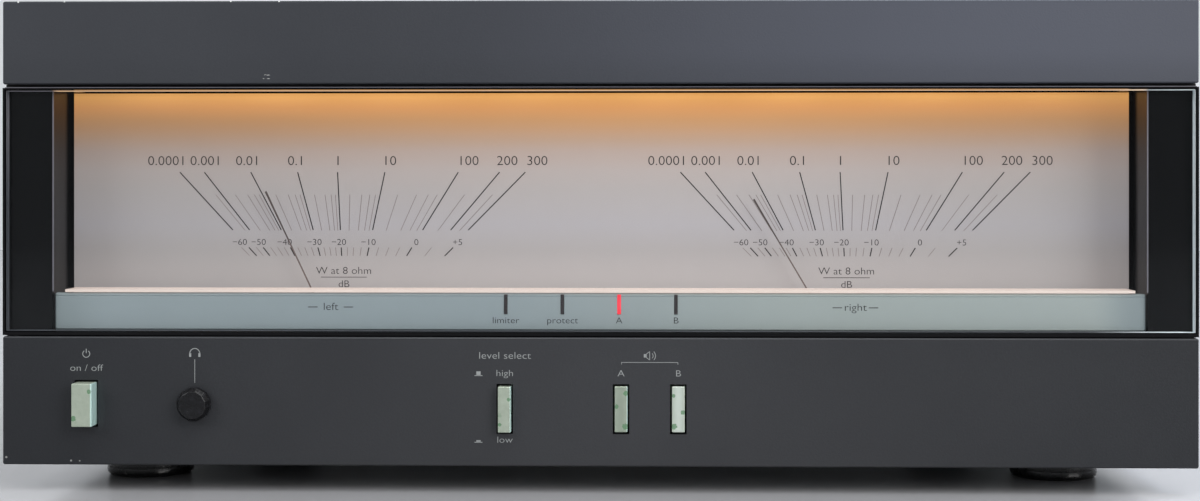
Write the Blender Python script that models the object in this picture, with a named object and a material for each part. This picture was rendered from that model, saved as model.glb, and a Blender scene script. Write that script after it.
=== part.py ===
"""A stereo power amplifier with two lit power meters. Metres, +Z up, front panels towards -Y.

Depths are measured back from the front face of the panels, and at() turns them into places.
The origin lies under the middle of the whole amplifier, on the surface that it stands on.
"""

import math

import bmesh
import bpy
from mathutils import Matrix, Vector

# The whole amplifier
PANEL_WIDTH = 0.450
BODY_DEPTH = 0.380
PAN_LIFT = 0.012
FIT = 0.0003
LAP = 0.0005
OVERRUN = 0.002
ROUND_SIDES = 24
SMALL_SIDES = 12

# Front panels and window, stacked from the bottom up
PANEL_LIFT = 0.010
FASCIA_THICK = 0.006
FASCIA_EDGE = 0.0005
LOWER_FASCIA_HEIGHT = 0.0485
FASCIA_SEAM = 0.0005
LIP_BOTTOM = 0.0013
GLASS_HEIGHT = 0.0910
LIP_TOP = 0.0007
SHADOW_SEAM = 0.0014
TOP_FASCIA_HEIGHT = 0.0314
GLASS_THICK = 0.0030
GLASS_EDGE = 0.0005
LIP_SIDE = 0.0009

# Meter frame behind the glass
CHEEK_WIDTH = 0.0170
FRAME_BODY_INSET = 0.0130
FRAME_DEPTH = 0.0310
FRAME_CEILING = 0.0027
LEDGE_WIDTH = 0.0070
LEDGE_HEIGHT = 0.0030
SILL_DEPTH = 0.0086
LAMP_SLOT_FRONT = 0.0105
LAMP_SLOT_REAR = 0.0244

# Dial, shelf and legend bar
DIAL_DEPTH = 0.0250
DIAL_THICK = 0.0015
DIAL_SIDE_GAP = 0.0017
DIAL_HIDDEN = 0.0107
LEGEND_DEPTH = 0.0050
LEGEND_THICK = 0.0030
LEGEND_HEIGHT = 0.0142
LEGEND_EDGE = 0.0006
SHELF_THICK = 0.0010
SHELF_FRONT = 0.0047
SHELF_REAR = 0.0185
SHELF_INSET = 0.0042

# Indicators in the legend bar
LED_COUNT = 4
LED_PITCH = 0.0215
LED_WIDTH = 0.0014
LED_HEIGHT = 0.0076
LED_TOP_MARGIN = 0.0004
LED_GAP = 0.00015
LED_PROUD = 0.0002
LED_BOARD_THICK = 0.0016
LED_BOARD_END = 0.0150
LED_BOARD_MARGIN = 0.0016

# Lamp strip above the dial
LAMP_COUNT = 8
LAMP_PITCH = 0.050
LAMP_RADIUS = 0.0030
LAMP_LENGTH = 0.0060
STRIP_FRONT = 0.0092
STRIP_REAR = 0.0270
STRIP_HEIGHT = 0.0085
STRIP_WALL = 0.0010
STRIP_END = 0.0200

# Meter movements and pointers
METER_X = 0.0984
PIVOT_DROP = 0.0086
POINTER_DEPTH = 0.0210
POINTER_THICK = 0.0005
POINTER_LENGTH = 0.0710
POINTER_ROOT = 0.0011
POINTER_TIP = 0.0006
POINTER_TAIL = 0.0080
POINTER_TAIL_WIDTH = 0.0030
LEFT_REST_DEG = -26.0
RIGHT_REST_DEG = -31.5
HUB_RADIUS = 0.0035
HUB_LENGTH = 0.0022
SHAFT_RADIUS = 0.0012
SHAFT_LENGTH = 0.0080
SHAFT_CLEAR = 0.0005
MOVEMENT_WIDTH = 0.0320
MOVEMENT_DEPTH = 0.0200
MOVEMENT_DROP = 0.0160
MOVEMENT_RISE = 0.0120
MOVEMENT_ARM = 0.0040
MOVEMENT_ARM_HEIGHT = 0.0090
MAGNET_RADIUS = 0.0125
MAGNET_LENGTH = 0.0080

# Push buttons, their switches and the headphone socket
POWER_LINE_share = 0.478
SWITCH_LINE_share = 0.445
POWER_HEIGHT = 0.0162
BUTTON_HEIGHT = 0.0172
BUTTON_WIDTH = 0.0046
POWER_WIDTH = 0.0074
POWER_PROUD = 0.0064
OUTPUT_PROUD = 0.0030
SPEAKER_PROUD = 0.0006
BUTTON_GAP = 0.0008
BUTTON_EDGE = 0.0004
BUTTON_REAR = 0.0083
POWER_INSET = 0.0319
OUTPUT_X = -0.0345
SPEAKER_SHIFT = 0.0008
STEM_WIDTH = 0.0026
STEM_HEIGHT = 0.0050
STEM_REAR = 0.0190
STEM_CLEAR = 0.0004
SWITCH_FRONT = 0.0140
SWITCH_DEPTH = 0.0160
SWITCH_BORE = 0.0100
SWITCH_WIDTH = 0.0080
SWITCH_HEIGHT = 0.0180
POWER_SWITCH_WIDTH = 0.0160
POWER_SWITCH_HEIGHT = 0.0220
POWER_SWITCH_DEPTH = 0.0240
EAR_THICK = 0.0015
SWITCH_BOARD_THICK = 0.0016
SWITCH_BOARD_END = 0.0140
SWITCH_BOARD_HEIGHT = 0.0220
SPACER_RADIUS = 0.0030
SPACER_INSET = 0.0045
PHONES_INSET = 0.0732
CAP_RADIUS = 0.0064
CAP_PROUD = 0.0050
CAP_CHAMFER = 0.0012
CAP_CHAMFER_DEPTH = 0.0020
CAP_FACETS = 12
PLUG_RADIUS = 0.00285
PLUG_REACH = 0.0050
JACK_BORE_RADIUS = 0.00325
JACK_BUSH_RADIUS = 0.0045
JACK_BUSH_FRONT = 0.0004
JACK_WIDTH = 0.0130
JACK_HEIGHT = 0.0140
JACK_REAR = 0.0320
JACK_END_WALL = 0.0020

# Sheet-metal shell
COVER_INSET = 0.0050
COVER_WALL = 0.0012
COVER_DROP = 0.0020
COVER_BEND = 0.0010
SUBCHASSIS_THICK = 0.0020
PAN_WALL = 0.0015
PAN_FLANGE = 0.0075
REAR_WALL = 0.0017
VENT_WIDTH = 0.0036
VENT_PITCH = 0.0080
VENT_LENGTH = 0.0850
VENT_BRIDGE = 0.0150
TOP_VENT_COLUMNS = 27
PAN_VENT_COLUMNS = 29
VENT_ROWS = 2

# Feet
FOOT_RADIUS = 0.0170
FOOT_TOP_RADIUS = 0.0155
FOOT_CHAMFER = 0.0015
FOOT_INSET = 0.0375
FRONT_FOOT_DEPTH = 0.0470
REAR_FOOT_INSET = 0.0450
FOOT_RECESS_RADIUS = 0.0060
FOOT_RECESS_DEPTH = 0.0050

# Mains transformer in the left bay
BAY_MARGIN = 0.0055
CORE_WIDTH = 0.0920
CORE_STACK = 0.0600
CORE_HEIGHT = 0.0780
CORE_LEG = 0.0150
WINDOW_WIDTH = 0.0160
WINDOW_HEIGHT = 0.0460
WINDING_OVERHANG = 0.0200
TRANSFORMER_DEPTH = 0.1250
BRACKET_WALL = 0.0020
BRACKET_FLANGE = 0.0080
BRACKET_HEIGHT = 0.0400

# Reservoir capacitors in the right bay
CAN_RADIUS = 0.0330
CAN_HEIGHT = 0.0950
CAN_GAP = 0.0060
CAN_FRONT_DEPTH = 0.0950
CAN_EDGE = 0.0020
CLAMP_RISE = 0.0280
CLAMP_THICK = 0.0030
CLAMP_RIM = 0.0050
CLAMP_LEG = 0.0060

# Heat sinks, output devices and amplifier boards in the middle
SINK_LENGTH = 0.2000
SINK_HEIGHT = 0.1250
SINK_INNER = 0.0460
SINK_BASE = 0.0080
FIN_LENGTH = 0.0320
FIN_THICK = 0.0030
FIN_COUNT = 15
SINK_REAR_GAP = 0.0350
DEVICE_COUNT = 4
DEVICE_THICK = 0.0050
DEVICE_WIDTH = 0.0160
DEVICE_HEIGHT = 0.0200
DEVICE_BAR_THICK = 0.0030
DEVICE_BAR_HEIGHT = 0.0140
DEVICE_RISE = 0.0700
AMP_BOARD_OFFSET = 0.0320
AMP_BOARD_THICK = 0.0016
AMP_BOARD_HEIGHT = 0.1000
AMP_BOARD_LENGTH = 0.1800
BOARD_CAN_RADIUS = 0.0060
BOARD_CAN_LENGTH = 0.0150
BOARD_CAN_shares = ((0.18, 0.25), (0.18, 0.45), (0.45, 0.70), (0.80, 0.35))

# Supply and speaker-protection board in the right bay
SUPPLY_WIDTH = 0.0860
SUPPLY_LENGTH = 0.0900
SUPPLY_THICK = 0.0016
SUPPLY_LIFT = 0.0090
SUPPLY_REAR_GAP = 0.0300
SUPPLY_SPACER_INSET = 0.0070
RECTIFIER_SIZE = 0.0280
RECTIFIER_HEIGHT = 0.0100
SUPPLY_CAN_RADIUS = 0.0090
SUPPLY_CAN_LENGTH = 0.0300
RELAY_WIDTH = 0.0240
RELAY_LENGTH = 0.0300
RELAY_HEIGHT = 0.0260
RELAY_MARGIN = 0.0080
CAPACITOR_BAY_MARGIN = 0.0160

# Rear sockets and terminals
FLANGE_THICK = 0.0030
SOCKET_INSIDE = 0.0080
INPUT_SPACING = 0.0280
INPUT_RISE = 0.0600
INPUT_PLATE_WIDTH = 0.0560
INPUT_PLATE_HEIGHT = 0.0240
INPUT_BARREL_RADIUS = 0.0042
INPUT_BARREL_LENGTH = 0.0090
INPUT_BORE_RADIUS = 0.0017
POST_COLUMNS = 4
POST_ROWS = 2
POST_PITCH = 0.0260
POST_CENTRE_INSET = 0.0850
POST_RISE = 0.0640
POST_PLATE_MARGIN = 0.0130
COLLAR_RADIUS = 0.0060
COLLAR_LENGTH = 0.0030
STUD_RADIUS = 0.0020
STUD_LENGTH = 0.0122
POST_CAP_RADIUS = 0.0066
POST_CAP_LENGTH = 0.0150
POST_CAP_CHAMFER = 0.0010
POST_BORE_RADIUS = 0.0024
POST_BORE_DEPTH = 0.0125
INLET_INSET = 0.0500
INLET_RISE = 0.0500
INLET_FLANGE_WIDTH = 0.0500
INLET_FLANGE_HEIGHT = 0.0400
INLET_BODY_WIDTH = 0.0290
INLET_BODY_HEIGHT = 0.0320
INLET_BODY_DEPTH = 0.0280
INLET_RECESS_WIDTH = 0.0245
INLET_RECESS_HEIGHT = 0.0170
INLET_RECESS_DEPTH = 0.0165
INLET_RECESS_OFFSET = 0.0050
BLADE_WIDTH = 0.0020
BLADE_HEIGHT = 0.0040
BLADE_LENGTH = 0.0130
BLADE_SPACING = 0.0070
EARTH_OFFSET = 0.0040
DRAWER_WIDTH = 0.0234
DRAWER_HEIGHT = 0.0070
DRAWER_DEPTH = 0.0210
DRAWER_OFFSET = 0.0100
DRAWER_PROUD = 0.0015

# Wiring loom from the transformer, past the capacitors' outer side, to the supply board
LOOM_RADIUS = 0.0030
LOOM_STEP = 0.0150
LOOM_CAN_GAP = 0.0080
LOOM_CORNER = 0.0120
LOOM_CORNER_STEPS = 4
LOOM_BOARD_INSET = 0.0140
LOOM_REAR_RUN = 0.0200
LOOM_END = 0.0080

# Places that follow from the sizes above
REAR_REACH = FIT + FLANGE_THICK + COLLAR_LENGTH + FIT + POST_CAP_LENGTH
FRONT_Y = (POWER_PROUD - BODY_DEPTH - REAR_REACH) / 2
HALF_WIDTH = PANEL_WIDTH / 2
LOWER_TOP = PANEL_LIFT + LOWER_FASCIA_HEIGHT
FRAME_BOTTOM = LOWER_TOP + FASCIA_SEAM
WINDOW_BOTTOM = FRAME_BOTTOM + LIP_BOTTOM
GLASS_BOTTOM = WINDOW_BOTTOM + FIT
GLASS_TOP = GLASS_BOTTOM + GLASS_HEIGHT
WINDOW_TOP = GLASS_TOP + FIT
FRAME_TOP = WINDOW_TOP + LIP_TOP
UPPER_BOTTOM = FRAME_TOP + SHADOW_SEAM
TOTAL_HEIGHT = UPPER_BOTTOM + TOP_FASCIA_HEIGHT
GLASS_HALF = HALF_WIDTH - LIP_SIDE - FIT
REBATE_DEPTH = FIT + GLASS_THICK + FIT
RECESS_HALF = HALF_WIDTH - LIP_SIDE - CHEEK_WIDTH
FRAME_BODY_HALF = HALF_WIDTH - FRAME_BODY_INSET
FRAME_BODY_TOP = WINDOW_TOP + FRAME_CEILING
LEDGE_DEPTH = DIAL_DEPTH + DIAL_THICK + FIT
LEGEND_HALF = RECESS_HALF - FIT
LEGEND_TOP = GLASS_BOTTOM + LEGEND_HEIGHT
LEGEND_REAR = LEGEND_DEPTH + LEGEND_THICK
SHELF_BOTTOM = LEGEND_TOP + FIT
DIAL_BOTTOM = LEGEND_TOP - DIAL_HIDDEN
LEDGE_BOTTOM = DIAL_BOTTOM - LEDGE_HEIGHT / 2

PIVOT_Z = LOWER_TOP - PIVOT_DROP
HUB_REAR = POINTER_DEPTH + HUB_LENGTH / 2
MOVEMENT_FRONT = HUB_REAR + SHAFT_CLEAR
BACKING = FASCIA_THICK + FIT + SUBCHASSIS_THICK
SEAT = BACKING + FIT
POWER_Z = PANEL_LIFT + LOWER_FASCIA_HEIGHT * POWER_LINE_share
SWITCH_Z = PANEL_LIFT + LOWER_FASCIA_HEIGHT * SWITCH_LINE_share
POWER_X = POWER_INSET - HALF_WIDTH
PHONES_X = PHONES_INSET - HALF_WIDTH
SPEAKER_A_X = OUTPUT_X + 2 * LED_PITCH + SPEAKER_SHIFT
SPEAKER_B_X = SPEAKER_A_X + LED_PITCH
SWITCH_XS = (OUTPUT_X, SPEAKER_A_X, SPEAKER_B_X)

COVER_HALF = HALF_WIDTH - COVER_INSET
COVER_TOP = TOTAL_HEIGHT - COVER_DROP
SHELL_HALF = COVER_HALF - COVER_WALL - FIT
SHELL_TOP = COVER_TOP - COVER_WALL - FIT
FLOOR_TOP = PAN_LIFT + PAN_WALL
FLOOR_SEAT = FLOOR_TOP + FIT
REAR_IN = BODY_DEPTH - REAR_WALL
PAN_REAR = REAR_IN - FIT
BAY_HALF = SHELL_HALF - PAN_WALL
FOOT_X = SHELL_HALF - FOOT_INSET

SINK_REAR = REAR_IN - SINK_REAR_GAP
SINK_FRONT = SINK_REAR - SINK_LENGTH
SINK_MIDDLE = (SINK_FRONT + SINK_REAR) / 2
FIN_TIP = SINK_INNER + SINK_BASE + FIN_LENGTH
OUTSIDE = BODY_DEPTH + FIT
FLANGE_REAR = OUTSIDE + FLANGE_THICK
COLLAR_REAR = FLANGE_REAR + COLLAR_LENGTH
INLET_X = INLET_INSET - SHELL_HALF
INLET_Z = PAN_LIFT + INLET_RISE
INPUT_Z = PAN_LIFT + INPUT_RISE
POST_X = SHELL_HALF - POST_CENTRE_INSET
POST_Z = PAN_LIFT + POST_RISE

# Finishes: colour, roughness and metallic value
SLATE_PAINT = ((0.075, 0.080, 0.092), 0.42, 0.55)
BLACK_PLASTIC = ((0.012, 0.012, 0.013), 0.35, 0.0)
CLEAR_GLASS = ((0.80, 0.84, 0.84), 0.03, 0.0)
DIAL_PAPER = ((0.48, 0.43, 0.42), 0.60, 0.0)
SAGE_METAL = ((0.33, 0.39, 0.38), 0.40, 0.30)
SHELF_WHITE = ((0.75, 0.60, 0.50), 0.35, 0.0)
RED_LENS = ((0.75, 0.06, 0.09), 0.25, 0.0)
DARK_LENS = ((0.050, 0.055, 0.065), 0.30, 0.0)
BOARD_GREEN = ((0.05, 0.16, 0.07), 0.50, 0.0)
LAMP_AMBER = ((0.90, 0.55, 0.25), 0.30, 0.0)
POINTER_GREY = ((0.05, 0.05, 0.06), 0.45, 0.2)
CHAMPAGNE_METAL = ((0.45, 0.50, 0.41), 0.35, 0.80)
ZINC_STEEL = ((0.55, 0.57, 0.58), 0.35, 0.90)
BLACK_STEEL = ((0.020, 0.021, 0.023), 0.50, 0.30)
GLOSS_RUBBER = ((0.010, 0.010, 0.011), 0.22, 0.0)
IRON_LAMINATION = ((0.14, 0.13, 0.12), 0.55, 0.60)
COPPER_WINDING = ((0.50, 0.19, 0.07), 0.40, 0.60)
BLUE_SLEEVE = ((0.02, 0.04, 0.15), 0.35, 0.0)
BLACK_ALUMINIUM = ((0.030, 0.030, 0.032), 0.45, 0.70)
NICKEL = ((0.60, 0.58, 0.54), 0.25, 0.95)
RED_PLASTIC = ((0.40, 0.015, 0.015), 0.35, 0.0)


def at(x, depth, z):
    """A point, with its depth counted back from the front face of the panels."""
    return Vector((x, FRONT_Y + depth, z))


def clear_scene():
    for obj in list(bpy.data.objects):
        bpy.data.objects.remove(obj)


def block(low, high, edge=0.0):
    """A box between two corners, with its edges cut back by edge."""
    bm = bmesh.new()
    place = Matrix.Translation((low + high) / 2) @ Matrix.Diagonal((*(high - low), 1))
    bmesh.ops.create_cube(bm, size=1, matrix=place)
    if edge:
        edges = bm.edges[:]
        bmesh.ops.bevel(bm, geom=edges, offset=edge, segments=1, profile=0.5, affect="EDGES", material=-1)
    return bm


def block_round(centre, width, depth, height, edge=0.0):
    """A box about its centre."""
    half = Vector((width, depth, height)) / 2
    return block(centre - half, centre + half, edge)


def turned(profile, base, direction, sides=ROUND_SIDES):
    """A turned solid. The profile gives (radius, distance along direction), from axis to axis."""
    bm = bmesh.new()
    points = [bm.verts.new((radius, 0, along)) for radius, along in profile]
    edges = [bm.edges.new(pair) for pair in zip(points, points[1:])]
    bmesh.ops.spin(
        bm, geom=points + edges, cent=(0, 0, 0), axis=(0, 0, 1), angle=math.tau, steps=sides, use_merge=True
    )
    bmesh.ops.remove_doubles(bm, verts=bm.verts, dist=LAP / 10)
    bmesh.ops.recalc_face_normals(bm, faces=bm.faces)
    turn = Vector(direction).to_track_quat("Z", "Y").to_matrix().to_4x4()
    bmesh.ops.transform(bm, matrix=Matrix.Translation(base) @ turn, verts=bm.verts)
    return bm


def rod(start, end, radius, sides=ROUND_SIDES):
    """A round bar between two points."""
    run = end - start
    return turned([(0, 0), (radius, 0), (radius, run.length), (0, run.length)], start, run, sides)


def extruded(points, run):
    """A flat outline pushed along run."""
    bm = bmesh.new()
    face = bm.faces.new([bm.verts.new(point) for point in points])
    made = bmesh.ops.extrude_face_region(bm, geom=[face])["geom"]
    bmesh.ops.translate(bm, vec=run, verts=[item for item in made if isinstance(item, bmesh.types.BMVert)])
    bmesh.ops.recalc_face_normals(bm, faces=bm.faces)
    return bm


def gathered(shapes):
    """Several shapes in one bmesh."""
    whole = bmesh.new()
    for shape in shapes:
        mesh = bpy.data.meshes.new("shape")
        shape.to_mesh(mesh)
        whole.from_mesh(mesh)
        shape.free()
        bpy.data.meshes.remove(mesh)
    return whole


def add_object(name, bm, origin):
    """An object with its origin at the given place."""
    bmesh.ops.translate(bm, vec=-origin, verts=bm.verts)
    mesh = bpy.data.meshes.new(name)
    bm.to_mesh(mesh)
    bm.free()
    obj = bpy.data.objects.new(name, mesh)
    obj.location = origin
    bpy.context.scene.collection.objects.link(obj)
    return obj


def combine(obj, name, bm, operation):
    """Joins a helper shape to an object, or cuts it away, with a live Boolean."""
    helper = add_object(f"{obj.name}_{name}", bm, obj.location.copy())
    helper.hide_render = True
    helper.display_type = "WIRE"
    modifier = obj.modifiers.new(name, "BOOLEAN")
    modifier.operation = operation
    modifier.object = helper
    modifier.use_self = True


def material_of(name, finish):
    colour, roughness, metallic = finish
    material = bpy.data.materials.new(name)
    material.use_nodes = True
    surface = material.node_tree.nodes["Principled BSDF"]
    surface.inputs["Base Color"].default_value = (*colour, 1)
    surface.inputs["Roughness"].default_value = roughness
    surface.inputs["Metallic"].default_value = metallic
    return material


def piece(name, finish, body, joined=(), cuts=(), origin=None):
    """One named part: a body shape, shapes joined to it, and shapes cut out of it."""
    if origin is None:
        origin = sum((vert.co for vert in body.verts), Vector()) / len(body.verts)
    obj = add_object(name, body, origin)
    obj.data.materials.append(material_of(name, finish))
    obj.data.shade_smooth()
    obj.data.set_sharp_from_angle(angle=math.radians(30))
    for index, shape in enumerate(joined):
        combine(obj, f"joined_{index}", shape, "UNION")
    if cuts:
        combine(obj, "cuts", gathered(cuts), "DIFFERENCE")
    return obj


def vent_slots(columns, middle_depth, low, high):
    """Cutters for rows of slots that run from front to back."""
    row_pitch = VENT_LENGTH + VENT_BRIDGE
    slots = []
    for row in range(VENT_ROWS):
        depth = middle_depth + (row - (VENT_ROWS - 1) / 2) * row_pitch
        for column in range(columns):
            x = (column - (columns - 1) / 2) * VENT_PITCH
            slots.append(
                block(
                    at(x - VENT_WIDTH / 2, depth - VENT_LENGTH / 2, low),
                    at(x + VENT_WIDTH / 2, depth + VENT_LENGTH / 2, high),
                )
            )
    return slots


def aperture(rear, x, z, width, height):
    """A cutter through the panels for a push button."""
    return block(
        at(x - width / 2 - BUTTON_GAP, -OVERRUN, z - height / 2 - BUTTON_GAP),
        at(x + width / 2 + BUTTON_GAP, rear + OVERRUN, z + height / 2 + BUTTON_GAP),
    )


def apertures(rear):
    """Cutters for the four buttons and the headphone socket."""
    cuts = [aperture(rear, POWER_X, POWER_Z, POWER_WIDTH, POWER_HEIGHT)]
    cuts += [aperture(rear, x, SWITCH_Z, BUTTON_WIDTH, BUTTON_HEIGHT) for x in SWITCH_XS]
    bush = JACK_BUSH_RADIUS + FIT
    cuts.append(rod(at(PHONES_X, -OVERRUN, POWER_Z), at(PHONES_X, rear + OVERRUN, POWER_Z), bush))
    return cuts


def front_panels():
    piece(
        "lower_fascia",
        SLATE_PAINT,
        block(at(-HALF_WIDTH, 0, PANEL_LIFT), at(HALF_WIDTH, FASCIA_THICK, LOWER_TOP), FASCIA_EDGE),
        cuts=apertures(FASCIA_THICK),
    )
    piece(
        "top_fascia",
        SLATE_PAINT,
        block(at(-HALF_WIDTH, 0, UPPER_BOTTOM), at(HALF_WIDTH, FASCIA_THICK, TOTAL_HEIGHT), FASCIA_EDGE),
    )


def meter_window():
    piece(
        "window_glass",
        CLEAR_GLASS,
        block(
            at(-GLASS_HALF, FIT, GLASS_BOTTOM),
            at(GLASS_HALF, FIT + GLASS_THICK, GLASS_TOP),
            GLASS_EDGE,
        ),
    )
    flange = block(at(-HALF_WIDTH, 0, FRAME_BOTTOM), at(HALF_WIDTH, FASCIA_THICK, FRAME_TOP))
    walls = block(
        at(-FRAME_BODY_HALF, FASCIA_THICK - LAP, FRAME_BOTTOM),
        at(FRAME_BODY_HALF, FRAME_DEPTH, FRAME_TOP),
    )
    ceiling = block(
        at(-FRAME_BODY_HALF, FASCIA_THICK + FIT, FRAME_TOP - LAP),
        at(FRAME_BODY_HALF, FRAME_DEPTH, FRAME_BODY_TOP),
    )
    rebate = block(
        at(-GLASS_HALF - FIT, -OVERRUN, WINDOW_BOTTOM),
        at(GLASS_HALF + FIT, REBATE_DEPTH, WINDOW_TOP),
    )
    recess = block(
        at(-RECESS_HALF, REBATE_DEPTH - LAP, WINDOW_BOTTOM),
        at(RECESS_HALF, LEDGE_DEPTH, WINDOW_TOP),
    )
    rear_opening = block(
        at(LEDGE_WIDTH - RECESS_HALF, LEDGE_DEPTH - LAP, LEDGE_BOTTOM + LEDGE_HEIGHT),
        at(RECESS_HALF - LEDGE_WIDTH, FRAME_DEPTH + OVERRUN, WINDOW_TOP - LEDGE_HEIGHT),
    )
    needle_gap = block(
        at(-RECESS_HALF, SILL_DEPTH, FRAME_BOTTOM - OVERRUN),
        at(RECESS_HALF, FRAME_DEPTH + OVERRUN, LEDGE_BOTTOM),
    )
    lamp_slot = block(
        at(LEDGE_WIDTH - RECESS_HALF, LAMP_SLOT_FRONT, WINDOW_TOP - LAP),
        at(RECESS_HALF - LEDGE_WIDTH, LAMP_SLOT_REAR, FRAME_BODY_TOP + OVERRUN),
    )
    piece(
        "meter_frame",
        BLACK_PLASTIC,
        flange,
        joined=[walls, ceiling],
        cuts=[rebate, recess, rear_opening, needle_gap, lamp_slot],
    )


def led_x(index):
    return OUTPUT_X + index * LED_PITCH


def dial_parts():
    dial_half = RECESS_HALF - DIAL_SIDE_GAP
    piece(
        "dial_plate",
        DIAL_PAPER,
        block(at(-dial_half, DIAL_DEPTH, DIAL_BOTTOM), at(dial_half, DIAL_DEPTH + DIAL_THICK, GLASS_TOP)),
    )
    shelf_top = SHELF_BOTTOM + SHELF_THICK
    shelf_half = LEGEND_HALF - SHELF_INSET
    piece(
        "dial_shelf",
        SHELF_WHITE,
        block(at(-shelf_half, SHELF_FRONT, SHELF_BOTTOM), at(shelf_half, SHELF_REAR, shelf_top)),
    )
    slit_top = LEGEND_TOP - LED_TOP_MARGIN
    slits = [
        block(
            at(led_x(index) - LED_WIDTH / 2, LEGEND_DEPTH - OVERRUN, slit_top - LED_HEIGHT),
            at(led_x(index) + LED_WIDTH / 2, LEGEND_REAR + OVERRUN, slit_top),
        )
        for index in range(LED_COUNT)
    ]
    bar_low = at(-LEGEND_HALF, LEGEND_DEPTH, GLASS_BOTTOM)
    bar_high = at(LEGEND_HALF, LEGEND_REAR, LEGEND_TOP)
    piece("legend_bar", SAGE_METAL, block(bar_low, bar_high, LEGEND_EDGE), cuts=slits)
    names = ("limit_lens", "protection_lens", "speaker_a_lens", "speaker_b_lens")
    for index, name in enumerate(names):
        finish = RED_LENS if name == "speaker_a_lens" else DARK_LENS
        half = LED_WIDTH / 2 - LED_GAP
        low = at(led_x(index) - half, LEGEND_DEPTH - LED_PROUD, slit_top - LED_HEIGHT + LED_GAP)
        piece(name, finish, block(low, at(led_x(index) + half, LEGEND_REAR, slit_top - LED_GAP)))
    board_rear = LEGEND_REAR + FIT + LED_BOARD_THICK
    piece(
        "indicator_board",
        BOARD_GREEN,
        block(
            at(led_x(0) - LED_BOARD_END, LEGEND_REAR + FIT, GLASS_BOTTOM + LED_BOARD_MARGIN),
            at(led_x(LED_COUNT - 1) + LED_BOARD_END, board_rear, LEGEND_TOP - LED_BOARD_MARGIN),
        ),
    )


def lamp_strip():
    """An upside-down channel over the slot in the meter frame, with the lamps under its roof."""
    half = LAMP_PITCH * (LAMP_COUNT - 1) / 2 + STRIP_END
    bottom = FRAME_BODY_TOP + FIT
    roof = bottom + STRIP_HEIGHT
    middle = (STRIP_FRONT + STRIP_REAR) / 2
    lamp_bottom = roof - STRIP_WALL - LAMP_LENGTH
    places = [(index - (LAMP_COUNT - 1) / 2) * LAMP_PITCH for index in range(LAMP_COUNT)]
    lamps = [
        rod(at(x, middle, lamp_bottom), at(x, middle, roof - LAP), LAMP_RADIUS, SMALL_SIDES)
        for x in places
    ]
    walls = [
        block(at(-half, STRIP_FRONT, bottom), at(half, STRIP_FRONT + STRIP_WALL, roof - LAP)),
        block(at(-half, STRIP_REAR - STRIP_WALL, bottom), at(half, STRIP_REAR, roof - LAP)),
    ]
    piece(
        "lamp_strip",
        LAMP_AMBER,
        block(at(-half, STRIP_FRONT, roof - STRIP_WALL), at(half, STRIP_REAR, roof)),
        joined=[gathered(walls), gathered(lamps)],
    )


def meter_movement(side, x, rest_deg):
    """A moving-coil movement on two arms behind the lower panel, and the pointer on its shaft."""
    half = MOVEMENT_WIDTH / 2
    low = PIVOT_Z - MOVEMENT_DROP
    rear = MOVEMENT_FRONT + MOVEMENT_DEPTH
    arm_x = half - MOVEMENT_ARM / 2
    arm_run = MOVEMENT_FRONT + LAP - SEAT
    arms = [
        block_round(
            at(x + sign * arm_x, SEAT + arm_run / 2, low + MOVEMENT_ARM_HEIGHT / 2),
            MOVEMENT_ARM,
            arm_run,
            MOVEMENT_ARM_HEIGHT,
        )
        for sign in (-1, 1)
    ]
    magnet = rod(at(x, rear - LAP, PIVOT_Z), at(x, rear + MAGNET_LENGTH, PIVOT_Z), MAGNET_RADIUS)
    bore = rod(
        at(x, MOVEMENT_FRONT - OVERRUN, PIVOT_Z),
        at(x, HUB_REAR + SHAFT_LENGTH + SHAFT_CLEAR, PIVOT_Z),
        SHAFT_RADIUS + SHAFT_CLEAR,
        SMALL_SIDES,
    )
    piece(
        f"{side}_meter_movement",
        BLACK_PLASTIC,
        block(at(x - half, MOVEMENT_FRONT, low), at(x + half, rear, PIVOT_Z + MOVEMENT_RISE)),
        joined=[gathered(arms), magnet],
        cuts=[bore],
    )
    pivot = at(x, POINTER_DEPTH, PIVOT_Z)
    front = Vector((0, -POINTER_THICK / 2, 0))
    needle = [
        pivot + front + Vector((-POINTER_TAIL_WIDTH / 2, 0, -POINTER_TAIL)),
        pivot + front + Vector((POINTER_TAIL_WIDTH / 2, 0, -POINTER_TAIL)),
        pivot + front + Vector((POINTER_ROOT / 2, 0, 0)),
        pivot + front + Vector((POINTER_TIP / 2, 0, POINTER_LENGTH)),
        pivot + front + Vector((-POINTER_TIP / 2, 0, POINTER_LENGTH)),
        pivot + front + Vector((-POINTER_ROOT / 2, 0, 0)),
    ]
    along = Vector((0, 1, 0))
    hub_and_shaft = turned(
        [
            (0, 0),
            (HUB_RADIUS, 0),
            (HUB_RADIUS, HUB_LENGTH),
            (SHAFT_RADIUS, HUB_LENGTH),
            (SHAFT_RADIUS, HUB_LENGTH + SHAFT_LENGTH),
            (0, HUB_LENGTH + SHAFT_LENGTH),
        ],
        pivot - along * HUB_LENGTH / 2,
        along,
        SMALL_SIDES,
    )
    pointer = piece(
        f"{side}_pointer",
        POINTER_GREY,
        extruded(needle, along * POINTER_THICK),
        joined=[hub_and_shaft],
        origin=pivot,
    )
    turn_with_helpers(pointer, math.radians(rest_deg))


def turn_with_helpers(obj, angle):
    """Turns an object and its Boolean helpers about the Y axis through its origin."""
    obj.rotation_euler.y = angle
    for modifier in obj.modifiers:
        modifier.object.rotation_euler.y = angle


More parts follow.
